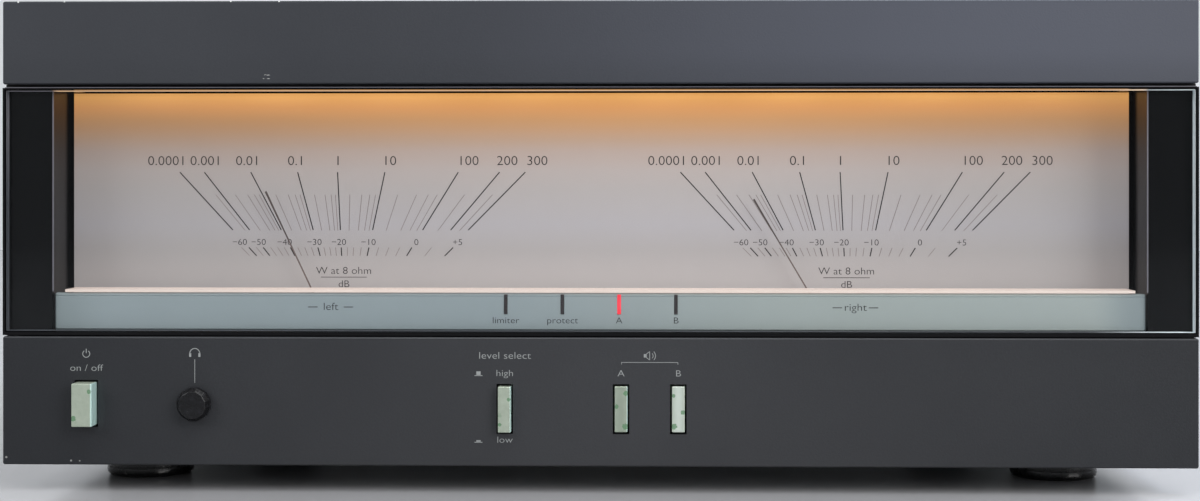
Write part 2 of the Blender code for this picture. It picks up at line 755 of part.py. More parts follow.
def push_button(name, x, z, width, height, proud):
    """A pressed metal cap with a stem that enters its switch."""
    cap = block(
        at(x - width / 2, -proud, z - height / 2),
        at(x + width / 2, BUTTON_REAR, z + height / 2),
        BUTTON_EDGE,
    )
    stem = block(
        at(x - STEM_WIDTH / 2, BUTTON_REAR - LAP, z - STEM_HEIGHT / 2),
        at(x + STEM_WIDTH / 2, STEM_REAR, z + STEM_HEIGHT / 2),
    )
    piece(name, CHAMPAGNE_METAL, cap, joined=[stem])


def push_buttons():
    push_button("power_button", POWER_X, POWER_Z, POWER_WIDTH, POWER_HEIGHT, POWER_PROUD)
    others = (
        ("output_button", OUTPUT_X, OUTPUT_PROUD),
        ("speaker_a_button", SPEAKER_A_X, SPEAKER_PROUD),
        ("speaker_b_button", SPEAKER_B_X, SPEAKER_PROUD),
    )
    for name, x, proud in others:
        push_button(name, x, SWITCH_Z, BUTTON_WIDTH, BUTTON_HEIGHT, proud)


def switch_bore(x, z):
    """A cutter for the hole that a button's stem slides in."""
    half_width = STEM_WIDTH / 2 + STEM_CLEAR
    half_height = STEM_HEIGHT / 2 + STEM_CLEAR
    return block(
        at(x - half_width, SWITCH_FRONT - OVERRUN, z - half_height),
        at(x + half_width, SWITCH_FRONT + SWITCH_BORE, z + half_height),
    )


def switches():
    half = POWER_SWITCH_WIDTH / 2
    high = POWER_SWITCH_HEIGHT / 2
    ear_run = SWITCH_FRONT + LAP - SEAT
    ear_depth = SEAT + ear_run / 2
    ear_levels = (POWER_Z - high + EAR_THICK / 2, POWER_Z + high - EAR_THICK / 2)
    ear_centres = [at(POWER_X, ear_depth, z) for z in ear_levels]
    ears = [block_round(centre, POWER_SWITCH_WIDTH, ear_run, EAR_THICK) for centre in ear_centres]
    piece(
        "power_switch",
        BLACK_PLASTIC,
        block(
            at(POWER_X - half, SWITCH_FRONT, POWER_Z - high),
            at(POWER_X + half, SWITCH_FRONT + POWER_SWITCH_DEPTH, POWER_Z + high),
        ),
        joined=[gathered(ears)],
        cuts=[switch_bore(POWER_X, POWER_Z)],
    )
    board_front = SWITCH_FRONT + SWITCH_DEPTH
    left = OUTPUT_X - SWITCH_BOARD_END
    right = SPEAKER_B_X + SWITCH_BOARD_END
    bodies = [
        block(
            at(x - SWITCH_WIDTH / 2, SWITCH_FRONT, SWITCH_Z - SWITCH_HEIGHT / 2),
            at(x + SWITCH_WIDTH / 2, board_front + LAP, SWITCH_Z + SWITCH_HEIGHT / 2),
        )
        for x in SWITCH_XS
    ]
    spacers = [
        rod(at(x, SEAT, SWITCH_Z), at(x, board_front + LAP, SWITCH_Z), SPACER_RADIUS, SMALL_SIDES)
        for x in (left + SPACER_INSET, right - SPACER_INSET)
    ]
    piece(
        "switch_board",
        BOARD_GREEN,
        block(
            at(left, board_front, SWITCH_Z - SWITCH_BOARD_HEIGHT / 2),
            at(right, board_front + SWITCH_BOARD_THICK, SWITCH_Z + SWITCH_BOARD_HEIGHT / 2),
        ),
        joined=[gathered(bodies), gathered(spacers)],
        cuts=[switch_bore(x, SWITCH_Z) for x in SWITCH_XS],
    )


def headphone_socket():
    bore_end = JACK_REAR - JACK_END_WALL
    bush_front = at(PHONES_X, JACK_BUSH_FRONT, POWER_Z)
    bush = rod(bush_front, at(PHONES_X, SEAT + LAP, POWER_Z), JACK_BUSH_RADIUS)
    bore = rod(at(PHONES_X, -OVERRUN, POWER_Z), at(PHONES_X, bore_end, POWER_Z), JACK_BORE_RADIUS)
    piece(
        "phones_jack",
        BLACK_PLASTIC,
        block(
            at(PHONES_X - JACK_WIDTH / 2, SEAT, POWER_Z - JACK_HEIGHT / 2),
            at(PHONES_X + JACK_WIDTH / 2, JACK_REAR, POWER_Z + JACK_HEIGHT / 2),
        ),
        joined=[bush],
        cuts=[bore],
    )
    skirt = CAP_PROUD - FIT
    piece(
        "phones_cap",
        BLACK_PLASTIC,
        turned(
            [
                (0, 0),
                (CAP_RADIUS - CAP_CHAMFER, 0),
                (CAP_RADIUS, CAP_CHAMFER_DEPTH),
                (CAP_RADIUS, skirt),
                (PLUG_RADIUS, skirt),
                (PLUG_RADIUS, CAP_PROUD + PLUG_REACH),
                (0, CAP_PROUD + PLUG_REACH),
            ],
            at(PHONES_X, -CAP_PROUD, POWER_Z),
            (0, 1, 0),
            CAP_FACETS,
        ),
    )


def shell():
    """The front subchassis, bottom pan, top cover and rear panel, all folded or cut from sheet steel."""
    window = block(
        at(-FRAME_BODY_HALF - FIT, FASCIA_THICK - OVERRUN, FRAME_BOTTOM - FIT),
        at(FRAME_BODY_HALF + FIT, BACKING + OVERRUN, FRAME_BODY_TOP + FIT),
    )
    piece(
        "front_subchassis",
        BLACK_STEEL,
        block(at(-SHELL_HALF, FASCIA_THICK + FIT, PAN_LIFT), at(SHELL_HALF, BACKING, SHELL_TOP)),
        cuts=[window, *apertures(BACKING)],
    )
    tray = block(
        at(-BAY_HALF, SEAT + PAN_WALL, FLOOR_TOP),
        at(BAY_HALF, PAN_REAR - PAN_WALL, PAN_LIFT + PAN_FLANGE + OVERRUN),
    )
    piece(
        "bottom_pan",
        ZINC_STEEL,
        block(at(-SHELL_HALF, SEAT, PAN_LIFT), at(SHELL_HALF, PAN_REAR, PAN_LIFT + PAN_FLANGE)),
        cuts=[tray, *vent_slots(PAN_VENT_COLUMNS, SINK_MIDDLE, PAN_LIFT - OVERRUN, FLOOR_TOP + LAP)],
    )
    inside = block(
        at(COVER_WALL - COVER_HALF, FASCIA_THICK - OVERRUN, PAN_LIFT - OVERRUN),
        at(COVER_HALF - COVER_WALL, BODY_DEPTH + OVERRUN, COVER_TOP - COVER_WALL),
    )
    cover_low = at(-COVER_HALF, FASCIA_THICK + FIT, PAN_LIFT)
    cover_high = at(COVER_HALF, BODY_DEPTH, COVER_TOP)
    slots = vent_slots(TOP_VENT_COLUMNS, SINK_MIDDLE, COVER_TOP - COVER_WALL - LAP, COVER_TOP + OVERRUN)
    piece("top_cover", BLACK_STEEL, block(cover_low, cover_high, COVER_BEND), cuts=[inside, *slots])
    piece(
        "rear_panel",
        BLACK_STEEL,
        block(at(-SHELL_HALF, REAR_IN, PAN_LIFT), at(SHELL_HALF, BODY_DEPTH, SHELL_TOP)),
        cuts=rear_cutouts(),
    )


def rear_window(x, z, width, height):
    """A cutter through the rear panel, a fit larger than what passes through it."""
    middle = at(x, BODY_DEPTH - REAR_WALL / 2, z)
    return block_round(middle, width + 2 * FIT, REAR_WALL + 2 * OVERRUN, height + 2 * FIT)


def rear_cutouts():
    return [
        rear_window(INLET_X, INLET_Z, INLET_BODY_WIDTH, INLET_BODY_HEIGHT),
        rear_window(0, INPUT_Z, *input_body_size()),
        rear_window(POST_X, POST_Z, *post_body_size()),
    ]


def input_body_size():
    """Width and height of the part of the input sockets that passes through the rear panel."""
    return INPUT_SPACING + 2 * INPUT_BARREL_RADIUS, 2 * INPUT_BARREL_RADIUS + 2 * FLANGE_THICK


def post_body_size():
    """Width and height of the part of the terminal block that passes through the rear panel."""
    return (POST_COLUMNS - 1) * POST_PITCH + COLLAR_RADIUS, (POST_ROWS - 1) * POST_PITCH + COLLAR_RADIUS


def feet():
    top = PAN_LIFT - FIT
    profile = [
        (0, FOOT_RECESS_DEPTH),
        (FOOT_RECESS_RADIUS, FOOT_RECESS_DEPTH),
        (FOOT_RECESS_RADIUS, 0),
        (FOOT_RADIUS - FOOT_CHAMFER, 0),
        (FOOT_RADIUS, FOOT_CHAMFER),
        (FOOT_TOP_RADIUS, top),
        (0, top),
    ]
    rows = (("front", FRONT_FOOT_DEPTH), ("rear", BODY_DEPTH - REAR_FOOT_INSET))
    for row, depth in rows:
        for side, sign in (("left", -1), ("right", 1)):
            foot = turned(profile, at(sign * FOOT_X, depth, 0), (0, 0, 1))
            piece(f"{row}_{side}_foot", GLOSS_RUBBER, foot)


def transformer():
    """An iron core of stacked plates, a winding round its middle leg, and the bracket that holds it."""
    x = BAY_MARGIN + CORE_WIDTH / 2 + BRACKET_WALL - BAY_HALF
    core_bottom = FLOOR_SEAT + BRACKET_WALL + FIT
    middle = at(x, TRANSFORMER_DEPTH, core_bottom + CORE_HEIGHT / 2)
    window_x = CORE_LEG + WINDOW_WIDTH / 2
    places = [middle + Vector((sign * window_x, 0, 0)) for sign in (-1, 1)]
    windows = [block_round(place, WINDOW_WIDTH, CORE_STACK + OVERRUN, WINDOW_HEIGHT) for place in places]
    piece(
        "transformer_core",
        IRON_LAMINATION,
        block_round(middle, CORE_WIDTH, CORE_STACK, CORE_HEIGHT),
        cuts=windows,
    )
    leg_hole = block_round(middle, 2 * (CORE_LEG + FIT), CORE_STACK + 2 * FIT, WINDOW_HEIGHT + OVERRUN)
    piece(
        "transformer_winding",
        COPPER_WINDING,
        block_round(
            middle,
            2 * (CORE_LEG + WINDOW_WIDTH - FIT),
            CORE_STACK + 2 * WINDING_OVERHANG,
            WINDOW_HEIGHT - 2 * FIT,
        ),
        cuts=[leg_hole],
    )
    reach = (CORE_WIDTH + BRACKET_WALL) / 2 + FIT
    uprights = [
        block_round(
            at(x + sign * reach, TRANSFORMER_DEPTH, FLOOR_SEAT + BRACKET_HEIGHT / 2),
            BRACKET_WALL,
            CORE_STACK,
            BRACKET_HEIGHT,
        )
        for sign in (-1, 1)
    ]
    piece(
        "transformer_bracket",
        ZINC_STEEL,
        block_round(
            at(x, TRANSFORMER_DEPTH, FLOOR_SEAT + BRACKET_WALL / 2),
            2 * reach + BRACKET_WALL,
            CORE_STACK + 2 * BRACKET_FLANGE,
            BRACKET_WALL,
        ),
        joined=[gathered(uprights)],
    )
    return middle


def reservoir_capacitors():
    """Two large cans and the plate on four legs that clamps them."""
    x = BAY_HALF - CAPACITOR_BAY_MARGIN - CAN_RADIUS - CLAMP_RIM
    depths = (CAN_FRONT_DEPTH, CAN_FRONT_DEPTH + 2 * CAN_RADIUS + CAN_GAP)
    for name, depth in zip(("front_capacitor", "rear_capacitor"), depths):
        profile = [
            (0, 0),
            (CAN_RADIUS, 0),
            (CAN_RADIUS, CAN_HEIGHT - CAN_EDGE),
            (CAN_RADIUS - CAN_EDGE, CAN_HEIGHT),
            (0, CAN_HEIGHT),
        ]
        piece(name, BLUE_SLEEVE, turned(profile, at(x, depth, FLOOR_SEAT), (0, 0, 1)))
    low = FLOOR_SEAT + CLAMP_RISE
    reach = CAN_RADIUS + CLAMP_RIM
    front, rear = depths[0] - reach, depths[1] + reach
    legs = [
        block(
            at(x + sign * (reach - CLAMP_LEG / 2) - CLAMP_LEG / 2, depth, FLOOR_SEAT),
            at(x + sign * (reach - CLAMP_LEG / 2) + CLAMP_LEG / 2, depth + CLAMP_LEG, low + LAP),
        )
        for sign in (-1, 1)
        for depth in (front, rear - CLAMP_LEG)
    ]
    holes = [
        rod(at(x, depth, low - OVERRUN), at(x, depth, low + CLAMP_THICK + OVERRUN), CAN_RADIUS + FIT)
        for depth in depths
    ]
    piece(
        "capacitor_clamp",
        ZINC_STEEL,
        block(at(x - reach, front, low), at(x + reach, rear, low + CLAMP_THICK)),
        joined=[gathered(legs)],
        cuts=holes,
    )


def fin_outline(sign):
    """The heat sink's section seen from above: a base plate with fins that point to the side."""
    pitch = (SINK_LENGTH - FIN_THICK) / (FIN_COUNT - 1)
    root = sign * (SINK_INNER + SINK_BASE)
    points = [at(sign * SINK_INNER, SINK_REAR, FLOOR_SEAT), at(sign * SINK_INNER, SINK_FRONT, FLOOR_SEAT)]
    for index in range(FIN_COUNT):
        depth = SINK_FRONT + index * pitch
        if index:
            points.append(at(root, depth, FLOOR_SEAT))
        points.append(at(sign * FIN_TIP, depth, FLOOR_SEAT))
        points.append(at(sign * FIN_TIP, depth + FIN_THICK, FLOOR_SEAT))
        if index < FIN_COUNT - 1:
            points.append(at(root, depth + FIN_THICK, FLOOR_SEAT))
    return points


def output_stage(side, sign):
    """One channel: a finned heat sink, the output devices clamped to it, and the amplifier board."""
    piece(
        f"{side}_heatsink",
        BLACK_ALUMINIUM,
        extruded(fin_outline(sign), Vector((0, 0, SINK_HEIGHT))),
    )
    face = SINK_INNER - FIT
    device_z = FLOOR_SEAT + DEVICE_RISE
    pitch = SINK_LENGTH / DEVICE_COUNT
    devices = [
        block_round(
            at(sign * (face - DEVICE_THICK / 2), SINK_FRONT + (index + 1 / 2) * pitch, device_z),
            DEVICE_THICK,
            DEVICE_WIDTH,
            DEVICE_HEIGHT,
        )
        for index in range(DEVICE_COUNT)
    ]
    bar_middle = at(sign * (face - DEVICE_THICK - DEVICE_BAR_THICK / 2 + LAP), SINK_MIDDLE, device_z)
    piece(
        f"{side}_output_devices",
        BLACK_PLASTIC,
        block_round(bar_middle, DEVICE_BAR_THICK, SINK_LENGTH - pitch / 2, DEVICE_BAR_HEIGHT),
        joined=[gathered(devices)],
    )
    inner = AMP_BOARD_OFFSET - AMP_BOARD_THICK
    start = SINK_MIDDLE - AMP_BOARD_LENGTH / 2
    cans = []
    for length_share, height_share in BOARD_CAN_shares:
        depth = start + length_share * AMP_BOARD_LENGTH
        z = FLOOR_SEAT + height_share * AMP_BOARD_HEIGHT
        foot, top = at(sign * (inner + LAP), depth, z), at(sign * (inner - BOARD_CAN_LENGTH), depth, z)
        cans.append(rod(foot, top, BOARD_CAN_RADIUS, SMALL_SIDES))
    piece(
        f"{side}_amplifier_board",
        BOARD_GREEN,
        block_round(
            at(sign * (inner + AMP_BOARD_THICK / 2), SINK_MIDDLE, FLOOR_SEAT + AMP_BOARD_HEIGHT / 2),
            AMP_BOARD_THICK,
            AMP_BOARD_LENGTH,
            AMP_BOARD_HEIGHT,
        ),
        joined=[gathered(cans)],
    )


def supply_board():
    """The board with the rectifier, small smoothing cans and the speaker relay, on four spacers."""
    rear = REAR_IN - SUPPLY_REAR_GAP
    front = rear - SUPPLY_LENGTH
    right = BAY_HALF - BAY_MARGIN
    left = right - SUPPLY_WIDTH
    bottom = FLOOR_SEAT + SUPPLY_LIFT
    top = bottom + SUPPLY_THICK
    spacers = [
        rod(at(x, depth, FLOOR_SEAT), at(x, depth, bottom + LAP), SPACER_RADIUS, SMALL_SIDES)
        for x in (left + SUPPLY_SPACER_INSET, right - SUPPLY_SPACER_INSET)
        for depth in (front + SUPPLY_SPACER_INSET, rear - SUPPLY_SPACER_INSET)
    ]
    part_right = right - SUPPLY_SPACER_INSET
    part_front = front + SUPPLY_SPACER_INSET
    rectifier = block(
        at(part_right - RECTIFIER_SIZE, part_front, top - LAP),
        at(part_right, part_front + RECTIFIER_SIZE, top + RECTIFIER_HEIGHT),
    )
    cans = [
        rod(
            at(left + SUPPLY_CAN_RADIUS * 2, front + SUPPLY_CAN_RADIUS * step, top - LAP),
            at(left + SUPPLY_CAN_RADIUS * 2, front + SUPPLY_CAN_RADIUS * step, top + SUPPLY_CAN_LENGTH),
            SUPPLY_CAN_RADIUS,
            SMALL_SIDES,
        )
        for step in (2, 5)
    ]
    piece(
        "supply_board",
        BOARD_GREEN,
        block(at(left, front, bottom), at(right, rear, top)),
        joined=[gathered(spacers), rectifier, gathered(cans)],
    )
    piece(
        "speaker_relay",
        BLACK_PLASTIC,
        block(
            at(right - RELAY_MARGIN - RELAY_WIDTH, rear - RELAY_MARGIN - RELAY_LENGTH, top + FIT),
            at(right - RELAY_MARGIN, rear - RELAY_MARGIN, top + FIT + RELAY_HEIGHT),
        ),
    )
    return at(right, front, (bottom + top) / 2)


def inside_block(x, z, size):
    """The part of a socket block that goes through the rear panel, joined to the flange outside."""
    width, height = size
    return block_round(at(x, OUTSIDE - (SOCKET_INSIDE - LAP) / 2, z), width, SOCKET_INSIDE + LAP, height)


def input_sockets():
    end = FLANGE_REAR + INPUT_BARREL_LENGTH
    places = [sign * INPUT_SPACING / 2 for sign in (-1, 1)]
    barrels = [
        rod(at(x, FLANGE_REAR - LAP, INPUT_Z), at(x, end, INPUT_Z), INPUT_BARREL_RADIUS)
        for x in places
    ]
    bores = [
        rod(at(x, OUTSIDE, INPUT_Z), at(x, end + OVERRUN, INPUT_Z), INPUT_BORE_RADIUS, SMALL_SIDES)
        for x in places
    ]
    centre = at(0, OUTSIDE + FLANGE_THICK / 2, INPUT_Z)
    piece(
        "input_sockets",
        NICKEL,
        block_round(centre, INPUT_PLATE_WIDTH, FLANGE_THICK, INPUT_PLATE_HEIGHT),
        joined=[inside_block(0, INPUT_Z, input_body_size()), gathered(barrels)],
        cuts=bores,
    )


def post_places():
    """The centre of each loudspeaker terminal, with its name."""
    for row, channel in enumerate(("right", "left")):
        for column, kind in enumerate(("a_negative", "a_positive", "b_negative", "b_positive")):
            x = POST_X + (column - (POST_COLUMNS - 1) / 2) * POST_PITCH
            z = POST_Z + (row - (POST_ROWS - 1) / 2) * POST_PITCH
            yield f"{channel}_{kind}_cap", x, z


def speaker_terminals():
    """A moulded block with a threaded stud for each terminal, and the caps that screw down on the wire."""
    stud = [
        (0, 0),
        (COLLAR_RADIUS, 0),
        (COLLAR_RADIUS, LAP + COLLAR_LENGTH),
        (STUD_RADIUS, LAP + COLLAR_LENGTH),
        (STUD_RADIUS, LAP + COLLAR_LENGTH + STUD_LENGTH),
        (0, LAP + COLLAR_LENGTH + STUD_LENGTH),
    ]
    studs = [turned(stud, at(x, FLANGE_REAR - LAP, z), (0, 1, 0), SMALL_SIDES) for _, x, z in post_places()]
    margin = 2 * POST_PLATE_MARGIN
    piece(
        "speaker_terminal_block",
        BLACK_PLASTIC,
        block_round(
            at(POST_X, OUTSIDE + FLANGE_THICK / 2, POST_Z),
            (POST_COLUMNS - 1) * POST_PITCH + margin,
            FLANGE_THICK,
            (POST_ROWS - 1) * POST_PITCH + margin,
        ),
        joined=[inside_block(POST_X, POST_Z, post_body_size()), gathered(studs)],
    )
    profile = [
        (0, POST_BORE_DEPTH),
        (POST_BORE_RADIUS, POST_BORE_DEPTH),
        (POST_BORE_RADIUS, 0),
        (POST_CAP_RADIUS, 0),
        (POST_CAP_RADIUS, POST_CAP_LENGTH - POST_CAP_CHAMFER),
        (POST_CAP_RADIUS - POST_CAP_CHAMFER, POST_CAP_LENGTH),
        (0, POST_CAP_LENGTH),
    ]
    for name, x, z in post_places():
        place = at(x, COLLAR_REAR + FIT, z)
        finish = RED_PLASTIC if "positive" in name else BLACK_PLASTIC
        piece(name, finish, turned(profile, place, (0, 1, 0), SMALL_SIDES), origin=place)


def mains_inlet():
    """A flanged inlet with three blades in its recess and a fuse drawer under it."""
    recess_floor = FLANGE_REAR - INLET_RECESS_DEPTH
    recess_z = INLET_Z + INLET_RECESS_OFFSET
    drawer_z = INLET_Z - DRAWER_OFFSET
    body = block(
        at(INLET_X - INLET_BODY_WIDTH / 2, FLANGE_REAR - INLET_BODY_DEPTH, INLET_Z - INLET_BODY_HEIGHT / 2),
        at(INLET_X + INLET_BODY_WIDTH / 2, OUTSIDE + LAP, INLET_Z + INLET_BODY_HEIGHT / 2),
    )
    recess = block(
        at(INLET_X - INLET_RECESS_WIDTH / 2, recess_floor, recess_z - INLET_RECESS_HEIGHT / 2),
        at(INLET_X + INLET_RECESS_WIDTH / 2, FLANGE_REAR + OVERRUN, recess_z + INLET_RECESS_HEIGHT / 2),
    )
    half_width = DRAWER_WIDTH / 2 + FIT
    half_height = DRAWER_HEIGHT / 2 + FIT
    cavity = block(
        at(INLET_X - half_width, FLANGE_REAR - DRAWER_DEPTH - FIT, drawer_z - half_height),
        at(INLET_X + half_width, FLANGE_REAR + OVERRUN, drawer_z + half_height),
    )
    flange_middle = at(INLET_X, OUTSIDE + FLANGE_THICK / 2, INLET_Z)
    inlet = piece(
        "mains_inlet",
        BLACK_PLASTIC,
        block_round(flange_middle, INLET_FLANGE_WIDTH, FLANGE_THICK, INLET_FLANGE_HEIGHT),
        joined=[body],
        cuts=[recess, cavity],
    )
    blades = [
        block_round(
            at(INLET_X + step * BLADE_SPACING, recess_floor + (BLADE_LENGTH - LAP) / 2, recess_z + rise),
            BLADE_WIDTH,
            BLADE_LENGTH + LAP,
            BLADE_HEIGHT,
        )
        for step, rise in ((-1, 0), (0, EARTH_OFFSET), (1, 0))
    ]
    combine(inlet, "blades", gathered(blades), "UNION")
    piece(
        "fuse_drawer",
        BLACK_PLASTIC,
        block(
            at(INLET_X - DRAWER_WIDTH / 2, FLANGE_REAR - DRAWER_DEPTH, drawer_z - DRAWER_HEIGHT / 2),
            at(INLET_X + DRAWER_WIDTH / 2, FLANGE_REAR + DRAWER_PROUD, drawer_z + DRAWER_HEIGHT / 2),
        ),
    )


def rounded_route(corners):
    """Points along straight runs between the corners, with a curve in each corner and a steady step."""
    route = [corners[0]]
    for before, corner, after in zip(corners, corners[1:], corners[2:]):
        reach = min(LOOM_CORNER, (before - corner).length / 2, (after - corner).length / 2)
        enter = corner + (before - corner).normalized() * reach
        leave = corner + (after - corner).normalized() * reach
        route += stepped(route[-1], enter)
        for index in range(1, LOOM_CORNER_STEPS + 1):
            t = index / LOOM_CORNER_STEPS
            route.append(enter * (1 - t) ** 2 + corner * 2 * t * (1 - t) + leave * t * t)
    return route + stepped(route[-1], corners[-1])


def stepped(start, end):
    """Evenly spaced points after start, up to end."""
    steps = max(1, round((end - start).length / LOOM_STEP))
    return [start.lerp(end, index / steps) for index in range(1, steps + 1)]


def wiring_loom(transformer_middle, board_corner):
    """The loom on the pan floor, in the gap between the capacitors and the side of the pan."""
    rest_z = FLOOR_SEAT + LOOM_RADIUS
    lane_x = BAY_HALF - CAPACITOR_BAY_MARGIN / 2
    end_x = board_corner.x - LOOM_BOARD_INSET
    front_y = at(0, CAN_FRONT_DEPTH - CAN_RADIUS - CLAMP_RIM - LOOM_CAN_GAP, 0).y
    turn_y = board_corner.y - LOOM_REAR_RUN
    winding_front = transformer_middle.y - CORE_STACK / 2 - WINDING_OVERHANG
    corners = [
        Vector((transformer_middle.x, winding_front - FIT, transformer_middle.z)),
        Vector((transformer_middle.x, front_y, transformer_middle.z)),
        Vector((transformer_middle.x, front_y, rest_z)),
        Vector((lane_x, front_y, rest_z)),
        Vector((lane_x, turn_y, rest_z)),
        Vector((end_x, turn_y, rest_z)),
        Vector((end_x, board_corner.y - LOOM_END, board_corner.z)),
        Vector((end_x, board_corner.y - FIT, board_corner.z)),
    ]
    curve = bpy.data.curves.new("wiring_loom", "CURVE")
    curve.dimensions = "3D"
    curve.bevel_depth = LOOM_RADIUS
    curve.bevel_resolution = 2
    curve.use_fill_caps = True
    points = rounded_route(corners)
    spline = curve.splines.new("POLY")
    spline.points.add(len(points) - 1)
    for target, point in zip(spline.points, points):
        target.co = (*point, 1)
    obj = bpy.data.objects.new("wiring_loom", curve)
    obj.data.materials.append(material_of("wiring_loom", BLACK_PLASTIC))
    bpy.context.scene.collection.objects.link(obj)


def main():
    clear_scene()
    front_panels()
    meter_window()
    dial_parts()
    lamp_strip()
    meter_movement("left", -METER_X, LEFT_REST_DEG)
    meter_movement("right", METER_X, RIGHT_REST_DEG)
    push_buttons()
    switches()
    headphone_socket()
    shell()
    feet()
    middle = transformer()
    reservoir_capacitors()
    output_stage("left", -1)
    output_stage("right", 1)
    corner = supply_board()
    input_sockets()
    speaker_terminals()
    mains_inlet()
    wiring_loom(middle, corner)


main()
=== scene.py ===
# Stereo power amplifier with two needle power meters, dressed for the studio.
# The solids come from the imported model; the pieces that they are too plain for are made here,
# in the order in which the amplifier is put together, from the bottom pan to the top cover.
import math

import bmesh
import bpy
from mathutils import Matrix, Vector


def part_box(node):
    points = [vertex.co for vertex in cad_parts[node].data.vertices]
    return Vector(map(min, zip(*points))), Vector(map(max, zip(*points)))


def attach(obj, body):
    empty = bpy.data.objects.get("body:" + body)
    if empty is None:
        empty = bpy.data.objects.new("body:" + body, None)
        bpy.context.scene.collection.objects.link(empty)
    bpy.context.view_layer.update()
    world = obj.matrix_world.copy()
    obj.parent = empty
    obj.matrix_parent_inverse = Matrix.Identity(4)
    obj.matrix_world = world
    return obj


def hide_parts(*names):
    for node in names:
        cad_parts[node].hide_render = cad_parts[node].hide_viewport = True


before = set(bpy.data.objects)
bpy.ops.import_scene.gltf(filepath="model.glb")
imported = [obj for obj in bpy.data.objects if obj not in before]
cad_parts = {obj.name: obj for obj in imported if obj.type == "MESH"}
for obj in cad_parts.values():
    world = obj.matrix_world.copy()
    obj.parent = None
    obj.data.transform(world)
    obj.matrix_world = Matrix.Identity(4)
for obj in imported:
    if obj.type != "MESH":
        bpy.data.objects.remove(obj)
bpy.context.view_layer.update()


# Bottom pan: galvanised sheet steel, folded up at its rim and pressed with two rows of vent
# slots under the heat sinks. The transformer's bracket and the clamp of the reservoir
# capacitors are cut from the same sheet. The spangle is the zinc's own crystal pattern.
MM = 0.001
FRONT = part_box("top_fascia")[0][1]


def at(x, depth, z):
    """A point in millimetres: x to the right, depth behind the panels' front, z above the floor."""
    return Vector((x * MM, FRONT + depth * MM, z * MM))


def tint(red, green, blue):
    """A colour from its values on a screen, 0 to 255."""
    shares = [value / 255 for value in (red, green, blue)]
    return (*[s / 12.92 if s <= 0.04045 else ((s + 0.055) / 1.055) ** 2.4 for s in shares], 1.0)


class Signal:
    """A socket in a finish; arithmetic on it adds Math nodes."""

    def __init__(self, finish, socket):
        self.finish = finish
        self.socket = socket

    def maths(self, operation, *others):
        return self.finish.node("ShaderNodeMath", {"operation": operation}, dict(enumerate((self, *others))))

    def __add__(self, other):
        return self.maths("ADD", other)

    def __sub__(self, other):
        return self.maths("SUBTRACT", other)

    def __mul__(self, other):
        return self.maths("MULTIPLY", other)

    def __truediv__(self, other):
        return self.maths("DIVIDE", other)

    def __rsub__(self, other):
        return self * -1 + other

    def __abs__(self):
        return self.maths("ABSOLUTE")

    __radd__ = __add__
    __rmul__ = __mul__

    def rise(self, low, high):
        """0 below low and 1 above high, with a soft step between."""
        settings = {"interpolation_type": "SMOOTHSTEP"}
        return self.finish.node("ShaderNodeMapRange", settings, {0: self, 1: low, 2: high})

    def near(self, middle, reach):
        """1 at the middle value, fading to 0 at reach on either side of it."""
        return 1 - abs(self - middle).rise(0.0, reach)


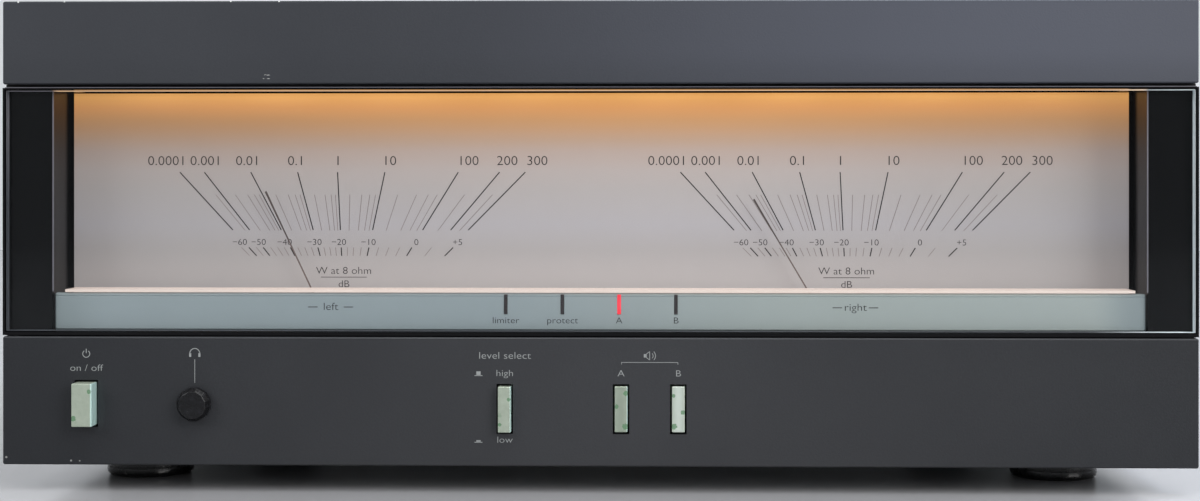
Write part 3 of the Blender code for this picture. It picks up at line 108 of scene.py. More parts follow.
class Finish:
    """A material, with the nodes that change it over the surface."""

    def __init__(self, name, colour, roughness, metallic=0.0, **constants):
        self.material = bpy.data.materials.new(name)
        self.material.use_nodes = True
        self.tree = self.material.node_tree
        self.shader = self.tree.nodes["Principled BSDF"]
        self.place = self.node("ShaderNodeTexCoord", output="Object")
        axes = self.tree.nodes.new("ShaderNodeSeparateXYZ")
        self.feed(axes.inputs[0], self.place)
        self.x, self.y, self.z = (Signal(self, socket) for socket in axes.outputs)
        self.paint(base_color=colour, roughness=roughness, metallic=metallic, **constants)

    def feed(self, socket, value):
        if isinstance(value, Signal):
            self.tree.links.new(value.socket, socket)
        else:
            socket.default_value = value

    def node(self, kind, settings=None, inputs=None, output=0):
        made = self.tree.nodes.new(kind)
        for name, value in (settings or {}).items():
            setattr(made, name, value)
        for key, value in (inputs or {}).items():
            self.feed(made.inputs[key], value)
        return Signal(self, made.outputs[output])

    def paint(self, **values):
        """Sets or links the shader's sockets; base_color stands for Base Color."""
        for name, value in values.items():
            words = {"specular": "Specular IOR Level"}.get(name, name.replace("_", " ").title())
            self.feed(self.shader.inputs[words], value)

    def stretch(self, x, y, z):
        """The place on the piece, with each axis scaled, for patterns that run one way."""
        return self.node("ShaderNodeMapping", None, {"Vector": self.place, "Scale": (x, y, z)})

    def noise(self, scale, detail=3.0, roughness=0.55, where=None):
        inputs = {"Vector": where or self.place, "Scale": scale, "Detail": detail, "Roughness": roughness}
        return self.node("ShaderNodeTexNoise", None, inputs)

    def cells(self, scale, output="Distance", where=None, feature="F1"):
        inputs = {"Vector": where or self.place, "Scale": scale}
        return self.node("ShaderNodeTexVoronoi", {"feature": feature}, inputs, output)

    def blend(self, first, second, share):
        return self.node("ShaderNodeMix", {"data_type": "RGBA"}, {0: share, 6: first, 7: second}, output=2)

    def ramp(self, value, stops):
        """A colour that follows a value through stops of (place, colour)."""
        made = self.tree.nodes.new("ShaderNodeValToRGB")
        self.feed(made.inputs[0], value)
        band = made.color_ramp
        while len(band.elements) < len(stops):
            band.elements.new(1.0)
        for element, (place, colour) in zip(band.elements, stops):
            element.position = place
            element.color = colour
        return Signal(self, made.outputs[0])

    def dull(self, low, scale, spread):
        """A roughness that a noise raises from its low value, by up to the spread."""
        self.paint(roughness=low + self.noise(scale) * spread)
        return self

    def vary(self, first, second, share, *dullness):
        """A colour between two, by a share, over a roughness as dull() makes it."""
        self.paint(base_color=self.blend(first, second, share))
        self.dull(*dullness)

    def relief(self, height, depth):
        """A bump of that depth in metres."""
        self.paint(normal=self.node("ShaderNodeBump", None, {"Distance": depth, "Height": height}))

    def fleck(self, x, z, size, ragged=0.6):
        """A small ragged spot on a face that looks forward, 1 inside it."""
        across = (self.x - x * MM) / (size * MM)
        up = (self.z - z * MM) / (size * MM)
        edge = self.noise(1900.0, 2.0) * ragged * 2 - ragged
        return 1 - (across * across + up * up + edge).rise(0.55, 1.0)

    def dress(self, *nodes):
        for name in nodes:
            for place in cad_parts[name].material_slots:
                place.material = self.material


zinc = Finish("zinc_steel", tint(172, 176, 176), 0.4, 0.9)
spangle = zinc.cells(210.0, "Color", zinc.stretch(1.0, 1.0, 0.6))
spangle_tone = zinc.node("ShaderNodeRGBToBW", None, {0: spangle})
zinc_tone = spangle_tone * 0.6 + zinc.noise(45.0) * 0.4
zinc.paint(
    base_color=zinc.blend(tint(138, 143, 144), tint(198, 201, 200), zinc_tone),
    roughness=0.3 + spangle_tone * 0.22 + zinc.noise(700.0) * 0.08,
)
zinc.relief(spangle_tone + zinc.noise(1600.0) * 0.3, 0.00003)
zinc.dress("bottom_pan", "transformer_bracket", "capacitor_clamp")


# Feet: glossy black moulded plastic with a rounded lower edge and a ring of fine ribs. A pan
# head screw in the recess under each holds it to the bottom pan.
UP, BACK, FORWARD = (0, 0, 1), (0, 1, 0), (0, -1, 0)


def facing(axis, place):
    """Turns +Z to an axis, and moves the origin to a place."""
    return Matrix.Translation(place) @ Vector(UP).rotation_difference(Vector(axis)).to_matrix().to_4x4()


def middle_of(node, lowered=None):
    """The middle of a solid's box, moved to the low side of the axis named in lowered."""
    low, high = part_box(node)
    middle = (low + high) / 2
    if lowered:
        setattr(middle, lowered, getattr(low, lowered))
    return middle


def lathed(profile, origin, axis, steps=48):
    """A mesh turned from (radius, run) points in millimetres, the run going along the axis."""
    bm = bmesh.new()
    points = [bm.verts.new((radius * MM, 0, run * MM)) for radius, run in profile]
    rail = [bm.edges.new(pair) for pair in zip(points, points[1:])]
    turn = {"cent": (0, 0, 0), "axis": UP, "angle": math.tau, "steps": steps, "use_merge": True}
    bmesh.ops.spin(bm, geom=points + rail, **turn)
    bmesh.ops.remove_doubles(bm, verts=bm.verts, dist=1e-7)
    bmesh.ops.recalc_face_normals(bm, faces=bm.faces)
    bm.transform(facing(axis, origin))
    return bm


def slab(low, high, edge=0.0, steps=3):
    """A block between two corners, with its edges rounded by that many millimetres."""
    bm = bmesh.new()
    bmesh.ops.create_cube(bm, size=1.0)
    bmesh.ops.scale(bm, vec=high - low, verts=bm.verts)
    bmesh.ops.translate(bm, vec=(low + high) / 2, verts=bm.verts)
    if edge:
        soften(bm, bm.edges[:], edge, steps)
    return bm


def soften(bm, edges, radius, steps=3):
    """Rounds those edges by a radius in millimetres."""
    bmesh.ops.bevel(
        bm, geom=edges, offset=radius * MM, segments=steps, affect="EDGES", profile=0.5, material=-1
    )


def gather(meshes):
    """One bmesh from several."""
    whole = bmesh.new()
    for bm in meshes:
        mesh = bpy.data.meshes.new("part")
        bm.to_mesh(mesh)
        bm.free()
        whole.from_mesh(mesh)
        bpy.data.meshes.remove(mesh)
    return whole


def finished(name, bm, finish, body="chassis", instead_of=(), crease=30.0):
    """Makes an object of a bmesh, smooth but for edges sharper than the crease angle in degrees."""
    mesh = bpy.data.meshes.new(name)
    bm.to_mesh(mesh)
    bm.free()
    mesh.shade_smooth()
    mesh.set_sharp_from_angle(angle=math.radians(crease))
    mesh.materials.append(finish.material)
    obj = bpy.data.objects.new(name, mesh)
    bpy.context.scene.collection.objects.link(obj)
    obj.modifiers.new("even_shading", "WEIGHTED_NORMAL").keep_sharp = True
    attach(obj, body)
    if instead_of:
        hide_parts(*instead_of)
    return obj


FOOT_RECESS = 5.0
FOOT_SCREW = 4.2
FOOT_PROFILE = [
    (0, FOOT_RECESS), (5.6, FOOT_RECESS), (6.0, 4.6), (6.0, 0.5), (6.5, 0.0), (14.6, 0.0),
    (15.9, 0.35), (16.7, 1.0), (17.0, 2.0), (16.85, 3.6), (16.5, 3.75), (16.45, 4.15), (16.75, 4.3),
    (16.6, 6.0), (16.25, 6.15), (16.2, 6.55), (16.5, 6.7), (15.6, 11.4), (15.2, 11.7), (0, 11.7),
]
foot_plastic = Finish("foot_plastic", tint(20, 20, 21), 0.22, 0.0, coat_weight=0.25)
foot_plastic.paint(roughness=0.16 + foot_plastic.noise(260.0) * 0.2 + foot_plastic.z.near(0.0, 0.0012) * 0.3)
foot_plastic.relief(foot_plastic.noise(900.0), 0.00002)
steel = Finish("screw_steel", tint(178, 179, 176), 0.3, 1.0)
steel.vary(tint(120, 120, 116), tint(196, 196, 192), steel.noise(320.0).rise(0.3, 0.75), 0.24, 900.0, 0.25)


def screw_template():
    """A pan head of 1 mm radius with a cross recess, its seat at the origin, looking along +Z."""
    profile = [(0, 0), (1.0, 0), (1.0, 0.25), (0.86, 0.5), (0.5, 0.66), (0, 0.7)]
    head = lathed(profile, Vector(), UP, 24)
    long_arm, wide_arm = Vector((0.62, 0.13, 0.4)) * MM, Vector((0.13, 0.62, 0.4)) * MM
    lift = Vector((0, 0, 0.72)) * MM
    cross = gather([slab(lift - arm, lift + arm) for arm in (long_arm, wide_arm)])
    parts = []
    for name, bm in (("head", head), ("cross", cross)):
        mesh = bpy.data.meshes.new(name)
        bm.to_mesh(mesh)
        parts.append(bpy.data.objects.new(name, mesh))
        bpy.context.scene.collection.objects.link(parts[-1])
    cut = parts[0].modifiers.new("recess", "BOOLEAN")
    cut.operation, cut.object, cut.solver, cut.use_self = "DIFFERENCE", parts[1], "EXACT", True
    depsgraph = bpy.context.evaluated_depsgraph_get()
    shaped = bpy.data.meshes.new_from_object(parts[0].evaluated_get(depsgraph))
    for part in parts:
        bpy.data.objects.remove(part)
    return shaped


SCREW = screw_template()


def screws(name, places, axis, radius, finish=steel):
    """One piece with a screw head of a radius in millimetres at each place, along one axis."""
    whole = bmesh.new()
    for index, place in enumerate(places):
        turn = Matrix.Rotation(0.5 + index * 1.3, 4, "Z")
        copy = SCREW.copy()
        copy.transform(facing(axis, place) @ turn @ Matrix.Scale(radius, 4))
        whole.from_mesh(copy)
        bpy.data.meshes.remove(copy)
    finished(name, whole, finish)


seats = []
for row in ("front", "rear"):
    for side in ("left", "right"):
        node = f"{row}_{side}_foot"
        base = middle_of(node, "z")
        seats.append(base + Vector((0, 0, FOOT_RECESS * MM)))
        foot = lathed(FOOT_PROFILE, base, UP, 64)
        finished(f"{node}_moulding", foot, foot_plastic, instead_of=[node])
screws("foot_screws", seats, (0, 0, -1), FOOT_SCREW)


# Mains transformer: stacked iron plates varnished dark, round a winding wrapped in yellow
# tape over enamelled copper. Four long bolts clamp the plates to the bracket.
iron = Finish("core_iron", tint(52, 48, 45), 0.45, 0.55)
plates = iron.y * 2400.0
iron_grain = iron.noise(1.0, 4.0, 0.6, iron.stretch(60.0, 900.0, 60.0))
iron.paint(
    base_color=iron.blend(tint(38, 34, 32), tint(84, 70, 58), iron_grain),
    roughness=0.35 + iron_grain * 0.3,
)
iron.relief(plates.maths("SINE") * 0.5 + iron_grain, 0.00006)
iron.dress("transformer_core")
winding = Finish("winding_tape", tint(196, 150, 40), 0.42)
turns = (winding.z * 1500.0).maths("SINE")
tape_tone = winding.noise(130.0) * 0.6 + turns * 0.2 + 0.2
winding.vary(tint(164, 112, 34), tint(214, 174, 70), tape_tone, 0.34, 600.0, 0.2)
winding.relief(turns + winding.noise(500.0), 0.00012)
winding.dress("transformer_winding")
CORE_BOLT = 3.4
CORE_BOLT_INSET = 0.007


def corner_places(low, high, inset, y):
    """The four corners of a face that looks along Y, moved in by an inset in metres."""
    xs, zs = (low.x + inset, high.x - inset), (low.z + inset, high.z - inset)
    return [Vector((x, y, z)) for x in xs for z in zs]


core_low, core_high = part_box("transformer_core")
bolts = corner_places(core_low, core_high, CORE_BOLT_INSET, core_low.y)
screws("transformer_bolts", bolts, FORWARD, CORE_BOLT)


# Reservoir capacitors: two aluminium cans in a dark blue shrink sleeve, each with a moulded
# top, a safety vent and two screw terminals, held upright by the clamp plate.
sleeve = Finish("can_sleeve", tint(26, 44, 82), 0.3, 0.0, coat_weight=0.3)
sleeve.vary(tint(20, 34, 68), tint(40, 62, 104), sleeve.noise(60.0), 0.24, 420.0, 0.22)
sleeve.relief(sleeve.noise(1.0, 3.0, 0.5, sleeve.stretch(500.0, 500.0, 90.0)), 0.00008)
phenolic = Finish("terminal_moulding", tint(26, 25, 24), 0.4)
phenolic.vary(tint(20, 19, 19), tint(36, 34, 32), phenolic.noise(900.0), 0.34, 500.0, 0.22)
phenolic.relief(phenolic.noise(2200.0), 0.00003)
LID_SEAT = 93.0
VENT_OFFSET = 12.0
POST_OFFSET = 11.1
CAN_PROFILE = [
    (0, 0), (32.0, 0), (33.0, 1.0), (33.0, 88.6), (32.4, 89.2), (32.4, 90.2), (33.0, 90.8), (33.0, 93.4),
    (32.2, 94.6), (31.0, 95.0), (30.0, 94.6), (29.4, LID_SEAT), (0, LID_SEAT),
]
LID_PROFILE = [(0, 0.01), (28.6, 0.01), (29.0, 0.3), (28.4, 0.7), (0, 0.9)]
VENT_PROFILE = [(0, 0.8), (2.6, 0.8), (2.6, 1.5), (2.0, 1.9), (0, 1.9)]
for name in ("front_capacitor", "rear_capacitor"):
    base = middle_of(name, "z")
    finished(f"{name}_can", lathed(CAN_PROFILE, base, UP, 72), sleeve, instead_of=[name])
    top = base + Vector((0, 0, LID_SEAT * MM))
    vent = lathed(VENT_PROFILE, top + Vector((0, VENT_OFFSET * MM, 0)), UP, 24)
    finished(f"{name}_lid", gather([lathed(LID_PROFILE, top, UP), vent]), phenolic)
    posts = [top + Vector((sign * POST_OFFSET * MM, 0, 0.4 * MM)) for sign in (-1, 1)]
    screws(f"{name}_terminals", posts, UP, 2.2)


# Heat sinks: black anodised aluminium extrusions, one for each channel, with four plastic
# power transistors held to each by a steel bar and screws.
anodised = Finish("black_aluminium", tint(34, 34, 36), 0.42, 0.7)
draw_lines = anodised.noise(1.0, 3.0, 0.6, anodised.stretch(1400.0, 1400.0, 14.0))
anodised.paint(
    base_color=anodised.blend(tint(26, 26, 28), tint(52, 52, 55), draw_lines),
    roughness=0.32 + draw_lines * 0.25,
)
anodised.relief(draw_lines, 0.00003)
anodised.dress("left_heatsink", "right_heatsink")
epoxy = Finish("moulded_black", tint(24, 24, 25), 0.5)
epoxy.vary(tint(18, 18, 19), tint(36, 36, 37), epoxy.noise(700.0), 0.4, 1500.0, 0.25)
epoxy.relief(epoxy.noise(3000.0), 0.00003)
epoxy.dress("left_output_devices", "right_output_devices")
SIDES = (("left", -1), ("right", 1))
DEVICE_SCREWS = (0.18, 0.36, 0.64, 0.82)
for side, sign in SIDES:
    low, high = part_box(f"{side}_output_devices")
    inner, middle_z = (low.x if sign > 0 else high.x), (low.z + high.z) / 2
    places = [Vector((inner, low.y + share * (high.y - low.y), middle_z)) for share in DEVICE_SCREWS]
    screws(f"{side}_device_screws", places, (-sign, 0, 0), 2.6)


# Amplifier boards and supply board: green lacquered circuit boards stood on edge beside the
# heat sinks and on spacers at the rear right, with copper tracks showing through the lacquer,
# small cans, resistors and the clear-cased speaker relay.
board = Finish("board_lacquer", tint(44, 92, 52), 0.32, 0.0, coat_weight=0.3)
grid = board.cells(170.0, "Distance", board.stretch(1.0, 1.0, 1.6), "DISTANCE_TO_EDGE")
track = 1 - grid.rise(0.05, 0.09)
board.vary(tint(40, 84, 48), tint(92, 128, 62), track * 0.75, 0.26, 500.0, 0.16)
board.relief(track * 0.6 + board.noise(1500.0) * 0.3, 0.00006)
board.dress(
    "left_amplifier_board", "right_amplifier_board", "supply_board", "switch_board", "indicator_board"
)
resistor = Finish("resistor_body", tint(196, 168, 120), 0.4)
bands = (resistor.y * 2600.0).maths("SINE").rise(0.55, 0.7)
resistor.paint(base_color=resistor.blend(tint(202, 176, 128), tint(122, 52, 30), bands))
resistor.relief(resistor.noise(900.0), 0.00003)
RESISTOR = [
    (0, 0), (0.9, 0), (1.3, 0.5), (1.3, 1.6), (1.1, 2.2),
    (1.1, 5.0), (1.3, 5.6), (1.3, 6.7), (0.9, 7.2), (0, 7.2),
]
RESISTOR_DEPTH = 3.1
COLUMN_PITCH, ROW_PITCH = 12.4, 62.0
for side, sign in SIDES:
    low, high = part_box(f"{side}_amplifier_board")
    x = (high.x if sign > 0 else low.x) - sign * RESISTOR_DEPTH * MM
    rows = []
    for row in range(2):
        for column in range(13):
            along, up = 12 + column * COLUMN_PITCH, 14 + row * ROW_PITCH
            rows.append(lathed(RESISTOR, Vector((x, low.y + along * MM, low.z + up * MM)), BACK, 10))
    finished(f"{side}_board_resistors", gather(rows), resistor)
relay_case = Finish("relay_case", tint(206, 208, 200), 0.2, 0.0, coat_weight=0.4)
# The case's colour is lighter towards its top.
lighter_towards_top = relay_case.z.rise(0.028, 0.046)
relay_case.vary(tint(186, 190, 182), tint(222, 222, 212), lighter_towards_top, 0.16, 300.0, 0.14)
relay = slab(*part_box("speaker_relay"), 1.2)
finished("speaker_relay_case", relay, relay_case, instead_of=["speaker_relay"])


# Wiring loom: the transformer's leads in a black woven sleeve, laid on the pan past the
# capacitors and up to the supply board.
woven = Finish("loom_sleeve", tint(24, 24, 25), 0.6)
weave = woven.cells(900.0)
woven.paint(base_color=woven.blend(tint(16, 16, 17), tint(44, 44, 46), weave), roughness=0.5 + weave * 0.2)
woven.relief(weave, 0.00018)
woven.dress("wiring_loom")


# Rear panel: pressed steel in the cover's black enamel, with white printed words by each
# group of sockets, and self-tapping screws round its edge.
enamel = Finish("black_enamel", tint(30, 30, 32), 0.45, 0.0)
texture = enamel.noise(2600.0, 4.0, 0.6)
haze = enamel.noise(22.0, 3.0)
enamel.paint(
    base_color=enamel.blend(tint(26, 26, 28), tint(42, 42, 44), texture * 0.6 + haze * 0.4),
    roughness=0.4 + texture * 0.22 + haze * 0.08,
)
enamel.relief(texture, 0.00005)
enamel.dress("rear_panel", "top_cover", "front_subchassis")
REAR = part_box("rear_panel")[1].y


def word_mesh(words):
    """The flat mesh of a word set at size 1, in the plane of X and Y."""
    curve = bpy.data.curves.new("word", "FONT")
    curve.body = words
    curve.align_x = "CENTER"
    curve.resolution_u = 4
    curve.offset = -0.01
    holder = bpy.data.objects.new("word", curve)
    bpy.context.scene.collection.objects.link(holder)
    mesh = bpy.data.meshes.new_from_object(holder.evaluated_get(bpy.context.evaluated_depsgraph_get()))
    bpy.data.objects.remove(holder)
    bpy.data.curves.remove(curve)
    return mesh


def print_words(page, words, spot, height, wide=1.0, back=False):
    """Prints words on a page, upright and centred on the spot, with capitals of that height."""
    mesh = word_mesh(words)
    scale = height * MM / CAPITAL
    size = Matrix.Diagonal((scale * wide, scale, scale, 1.0))
    drop = Matrix.Translation((0, -height * MM / 2, 0))
    stand = Matrix.Rotation(math.pi / 2, 4, "X")
    turn = Matrix.Rotation(math.pi if back else 0.0, 4, "Z")
    mesh.transform(Matrix.Translation(spot) @ turn @ stand @ drop @ size)
    page.from_mesh(mesh)
    bpy.data.meshes.remove(mesh)


def stroke(page, start, end, width, lift=FORWARD):
    """A printed line of a width in millimetres from one point to another on an upright face."""
    along = (end - start).normalized()
    across = along.cross(Vector(lift)).normalized() * width * MM / 2
    corners = [page.verts.new(spot) for spot in (start + across, end + across, end - across, start - across)]
    page.faces.new(corners)


CAPITAL = max(vert.co.y for vert in word_mesh("H").vertices)
INK = 0.03
white_ink = Finish("white_ink", tint(206, 206, 200), 0.5).dull(0.42, 1800.0, 0.2)
post_places = {}
for channel in ("left", "right"):
    for pair in ("a", "b"):
        for pole in ("negative", "positive"):
            node = f"{channel}_{pair}_{pole}_cap"
            post_places[node] = middle_of(node, "y")
page = bmesh.new()
rear_ink = REAR + INK * MM
block_low, block_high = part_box("speaker_terminal_block")
for pair in ("a", "b"):
    xs = [post_places[f"left_{pair}_{pole}_cap"].x for pole in ("negative", "positive")]
    spot = Vector((sum(xs) / 2, rear_ink, block_high.z + 0.0085))
    print_words(page, f"speakers {pair.upper()}", spot, 2.6, back=True)
    for x, sign in zip(xs, "-+"):
        print_words(page, sign, Vector((x, rear_ink, block_high.z + 0.0035)), 2.6, back=True)
for channel in ("left", "right"):
    spot = Vector((block_low.x - 0.009, rear_ink, post_places[f"{channel}_a_negative_cap"].z))
    print_words(page, channel, spot, 2.6, back=True)
SOCKET_X = 0.014
input_low, input_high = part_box("input_sockets")
print_words(page, "input", Vector((0, rear_ink, input_high.z + 0.009)), 2.8, back=True)
for x, channel in ((SOCKET_X, "left"), (-SOCKET_X, "right")):
    print_words(page, channel, Vector((x, rear_ink, input_high.z + 0.0038)), 2.4, back=True)
inlet_low, inlet_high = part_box("mains_inlet")
inlet_x = (inlet_low.x + inlet_high.x) / 2
print_words(page, "AC in", Vector((inlet_x, rear_ink, inlet_high.z + 0.005)), 2.8, back=True)
print_words(page, "fuse", Vector((inlet_x, rear_ink, inlet_low.z - 0.005)), 2.4, back=True)
frame_lines = (
    (block_low.x - 0.019, block_high.x + 0.004, block_low.z - 0.004, block_high.z + 0.013),
    (input_low.x - 0.004, input_high.x + 0.004, input_low.z - 0.004, input_high.z + 0.013),
)
for left, right, bottom, top in frame_lines:
    turns = ((left, bottom), (right, bottom), (right, top), (left, top))
    corners = [Vector((x, rear_ink, z)) for x, z in turns]
    for start, end in zip(corners, corners[1:] + corners[:1]):
        stroke(page, start, end, 0.45, BACK)
finished("rear_print", page, white_ink)
black_screw = Finish("black_screw", tint(44, 44, 45), 0.32, 0.8).dull(0.26, 1200.0, 0.25)
panel_low, panel_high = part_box("rear_panel")
rim = [
    Vector((x, REAR, z))
    for x in (panel_low.x + 0.008, panel_low.x * 0.36, panel_high.x * 0.24, panel_high.x - 0.008)
    for z in (panel_low.z + 0.007, panel_high.z - 0.007)
]
screws("rear_panel_screws", rim, BACK, 3.0, black_screw)


# Mains inlet: a black moulded appliance inlet with three plated blades, held by two screws,
# and a fuse drawer under it with a small raised grip.
PLATE_FACE = REAR + 3.3 * MM
EAR_OFFSET = 20.0
BLADE_ROOT, BLADE_LENGTH = 16.5, 13.1
epoxy.dress("mains_inlet")
flange = Vector((inlet_x, PLATE_FACE, (inlet_low.z + inlet_high.z) / 2))
ears = [flange + Vector((sign * EAR_OFFSET * MM, 0, 0)) for sign in (-1, 1)]
screws("mains_inlet_screws", ears, BACK, 3.0)
plating = Finish("nickel_plate", tint(206, 202, 192), 0.2, 1.0)
stained = plating.noise(240.0).rise(0.3, 0.7)
plating.vary(tint(176, 172, 162), tint(214, 210, 200), stained, 0.14, 700.0, 0.2)
blades = []
for across, up in ((-7.0, 5.0), (0.0, 9.0), (7.0, 5.0)):
    spot = flange + Vector((across, -BLADE_ROOT, up)) * MM
    reach = Vector((1.04, 0, 2.04)) * MM
    blades.append(slab(spot - reach, spot + reach + Vector((0, BLADE_LENGTH * MM, 0)), 0.5, 2))
finished("mains_blades", gather(blades), plating)
low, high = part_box("fuse_drawer")
drawer = slab(low, high, 0.5)
finished("fuse_drawer_moulding", drawer, epoxy, "fuse_drawer", ["fuse_drawer"])
face = Vector(((low.x + high.x) / 2, high.y, (low.z + high.z) / 2))
grip = slab(face + Vector((-4.0, -0.1, 0.6)) * MM, face + Vector((4.0, 0.3, 2.2)) * MM, 0.12, 2)
finished("fuse_drawer_grip", grip, phenolic, "fuse_drawer")
page = bmesh.new()
print_words(page, "250V", face + Vector((0, 0.02, -1.4)) * MM, 1.5, back=True)
finished("fuse_drawer_print", page, white_ink, "fuse_drawer")


# Input sockets: two plated phono sockets on a black laminate plate, each with a moulded
# insulator, white for the left channel and red for the right.
socket_z = (input_low.z + input_high.z) / 2
plate_low = Vector((input_low.x, REAR + 0.3 * MM, input_low.z))
plate_high = Vector((input_high.x, PLATE_FACE, input_high.z))
inner_low = Vector((-0.0220, input_low.y, input_low.z + 0.004))
inner_high = Vector((0.0220, REAR + 0.4 * MM, input_high.z - 0.004))
plate = gather([slab(plate_low, plate_high, 0.5), slab(inner_low, inner_high, 0.3, 2)])
finished("input_plate", plate, phenolic, instead_of=["input_sockets"])
BARREL = [
    (1.75, 0.2), (1.75, 8.2), (2.1, 8.9), (3.6, 9.0), (4.1, 8.7), (4.2, 8.2), (4.2, 1.6), (4.5, 1.6),
    (6.1, 1.5), (6.4, 1.2), (6.4, 0.0), (1.75, 0.0), (1.75, 0.2),
]
COLOURED = [(1.8, 6.0), (1.8, 9.05), (3.0, 9.25), (3.0, 6.0), (1.8, 6.0)]
barrels = [lathed(BARREL, Vector((x, PLATE_FACE, socket_z)), BACK, 40) for x in (-SOCKET_X, SOCKET_X)]
finished("input_barrels", gather(barrels), plating)
white_plastic = Finish("white_insulator", tint(224, 222, 212), 0.35)
white_plastic.relief(white_plastic.noise(800.0), 0.00003)
red_plastic = Finish("red_moulding", tint(168, 26, 26), 0.32, 0.0, coat_weight=0.15)
red_plastic.vary(tint(140, 18, 20), tint(184, 34, 32), red_plastic.noise(240.0), 0.26, 900.0, 0.16)
red_plastic.relief(red_plastic.noise(1500.0), 0.00003)
for name, x, finish, slot in (
    ("left_input_insulator", SOCKET_X, white_plastic, "nickel"),
    ("right_input_insulator", -SOCKET_X, red_plastic, "red_plastic"),
):
    finished(name, lathed(COLOURED, Vector((x, PLATE_FACE, socket_z)), BACK, 32), finish)
PLATE_SCREW = 2.4
places = [Vector((x, PLATE_FACE, socket_z)) for x in (-0.0245, 0.0245)]
screws("input_plate_screws", places, BACK, PLATE_SCREW)


# Loudspeaker terminals: a black moulded block with a stud for each wire. Eight ribbed caps, red
# for positive, screw down on the studs.
phenolic.dress("speaker_terminal_block")
BLOCK_SCREW_INSET = 0.0045
places = corner_places(block_low, block_high, BLOCK_SCREW_INSET, PLATE_FACE)
screws("terminal_block_screws", places, BACK, PLATE_SCREW)
black_plastic = Finish("black_cap_moulding", tint(28, 28, 29), 0.36)
black_plastic.vary(tint(22, 22, 23), tint(42, 42, 43), black_plastic.noise(240.0), 0.28, 900.0, 0.2)
black_plastic.relief(black_plastic.noise(1500.0), 0.00003)
RIBS = 40
CAP_RADIUS = 6.6
RIB_FLOOR = 0.93
CAP_RINGS = ((None, 11.6), (0.955, 12.2), (0.955, 13.2), (0.99, 13.4), (0.99, 14.3), (0.86, 15.0))
BORE_RINGS = ((2.4, 0.0), (2.4, 12.5))


def drawn(bm, edges, radius, run):
    """Draws a ring of edges out to a run and, if one is given, to a radius, in millimetres."""
    made = bmesh.ops.extrude_edge_only(bm, edges=edges)["geom"]
    for vert in (item for item in made if isinstance(item, bmesh.types.BMVert)):
        if radius:
            vert.co.xy = vert.co.xy.normalized() * radius * MM
        vert.co.z = run * MM
    return [item for item in made if isinstance(item, bmesh.types.BMEdge)]


def ribbed_cap(place):
    """A screw cap 13.2 mm across and 15 mm long, ribbed down its side, with a bore for the stud."""
    bm = bmesh.new()
    ring = bmesh.ops.create_circle(bm, cap_ends=False, segments=RIBS, radius=CAP_RADIUS * MM)["verts"]
    for vert in ring[::2]:
        vert.co *= RIB_FLOOR
    edges = bm.edges[:]
    for share, run in CAP_RINGS:
        edges = drawn(bm, edges, share and share * CAP_RADIUS, run)
    bmesh.ops.contextual_create(bm, geom=edges)
    lower = [edge for edge in bm.edges if edge.is_boundary]
    for radius, run in BORE_RINGS:
        lower = drawn(bm, lower, radius, run)
    bmesh.ops.contextual_create(bm, geom=lower)
    bmesh.ops.recalc_face_normals(bm, faces=bm.faces)
    bm.transform(facing(BACK, place))
    return bm


for node, place in post_places.items():
    positive = "positive" in node
    finish, slot = (red_plastic, "red_plastic") if positive else (black_plastic, "black_cap_plastic")
    finished(f"{node}_moulding", ribbed_cap(place), finish, node, [node], crease=24.0)


# Switches, headphone socket and indicator board behind the front subchassis. The jack's
# threaded bush shows through the lower panel once the cap is pulled, with a plated ring.
epoxy.dress("phones_jack", "power_switch")
RING = [(3.35, 0.9), (3.35, -0.12), (3.6, -0.3), (4.3, -0.3), (4.5, -0.1), (4.5, 0.9), (3.35, 0.9)]
finished("phones_ring", lathed(RING, middle_of("phones_jack", "y"), BACK), plating)


# Meter movements: a black moulding over the magnet and coil of each meter, with its shaft
# coming forward to the needle.
epoxy.dress("left_meter_movement", "right_meter_movement")


# Needles: thin brown-grey painted aluminium with a balanced tail and a turned hub on the shaft.
# The blade is set a little off the shaft's line below the shelf, and has a wider sight at its end.
needle = Finish("pointer_grey", tint(104, 86, 84), 0.5, 0.0)
needle_paint = needle.blend(tint(112, 98, 96), tint(72, 62, 62), needle.z.rise(0.090, 0.098))
needle.vary(needle_paint, tint(136, 118, 112), needle.noise(500.0) * 0.4, 0.42, 1200.0, 0.2)
NEEDLE_FACE = FRONT + 20.75 * MM
NEEDLE_BACK = FRONT + 21.25 * MM
SHAFT_DEPTH, SHAFT_HEIGHT = 21.0, 49.9
HUB = [(0.55, -2.0), (2.2, -2.0), (2.5, -1.7), (2.5, 1.7), (2.2, 2.0), (0.55, 2.0), (0.55, -2.0)]


def blade(points):
    """A flat needle through (x, z, width) points in millimetres, closed at both ends."""
    bm = bmesh.new()
    rings = []
    for index, (x, z, width) in enumerate(points):
        ahead, behind = points[min(index + 1, len(points) - 1)], points[max(index - 1, 0)]
        run = Vector((ahead[0] - behind[0], ahead[1] - behind[1])).normalized()
        side = Vector((run.y, -run.x)) * width / 2
        corners = [(x - side.x, z - side.y), (x + side.x, z + side.y)]
        ring = [bm.verts.new((x * MM, NEEDLE_FACE, z * MM)) for x, z in corners]
        ring += [bm.verts.new((x * MM, NEEDLE_BACK, z * MM)) for x, z in reversed(corners)]
        rings.append(ring)
    for low, high in zip(rings, rings[1:]):
        for index in range(4):
            bm.faces.new((low[index], low[(index + 1) % 4], high[(index + 1) % 4], high[index]))
    bm.faces.new(rings[0][::-1])
    bm.faces.new(rings[-1])
    bmesh.ops.recalc_face_normals(bm, faces=bm.faces)
    return bm


def between(start, end, share):
    """A point part of the way from one (x, z) pair to another."""
    return [low + (high - low) * share for low, high in zip(start, end)]


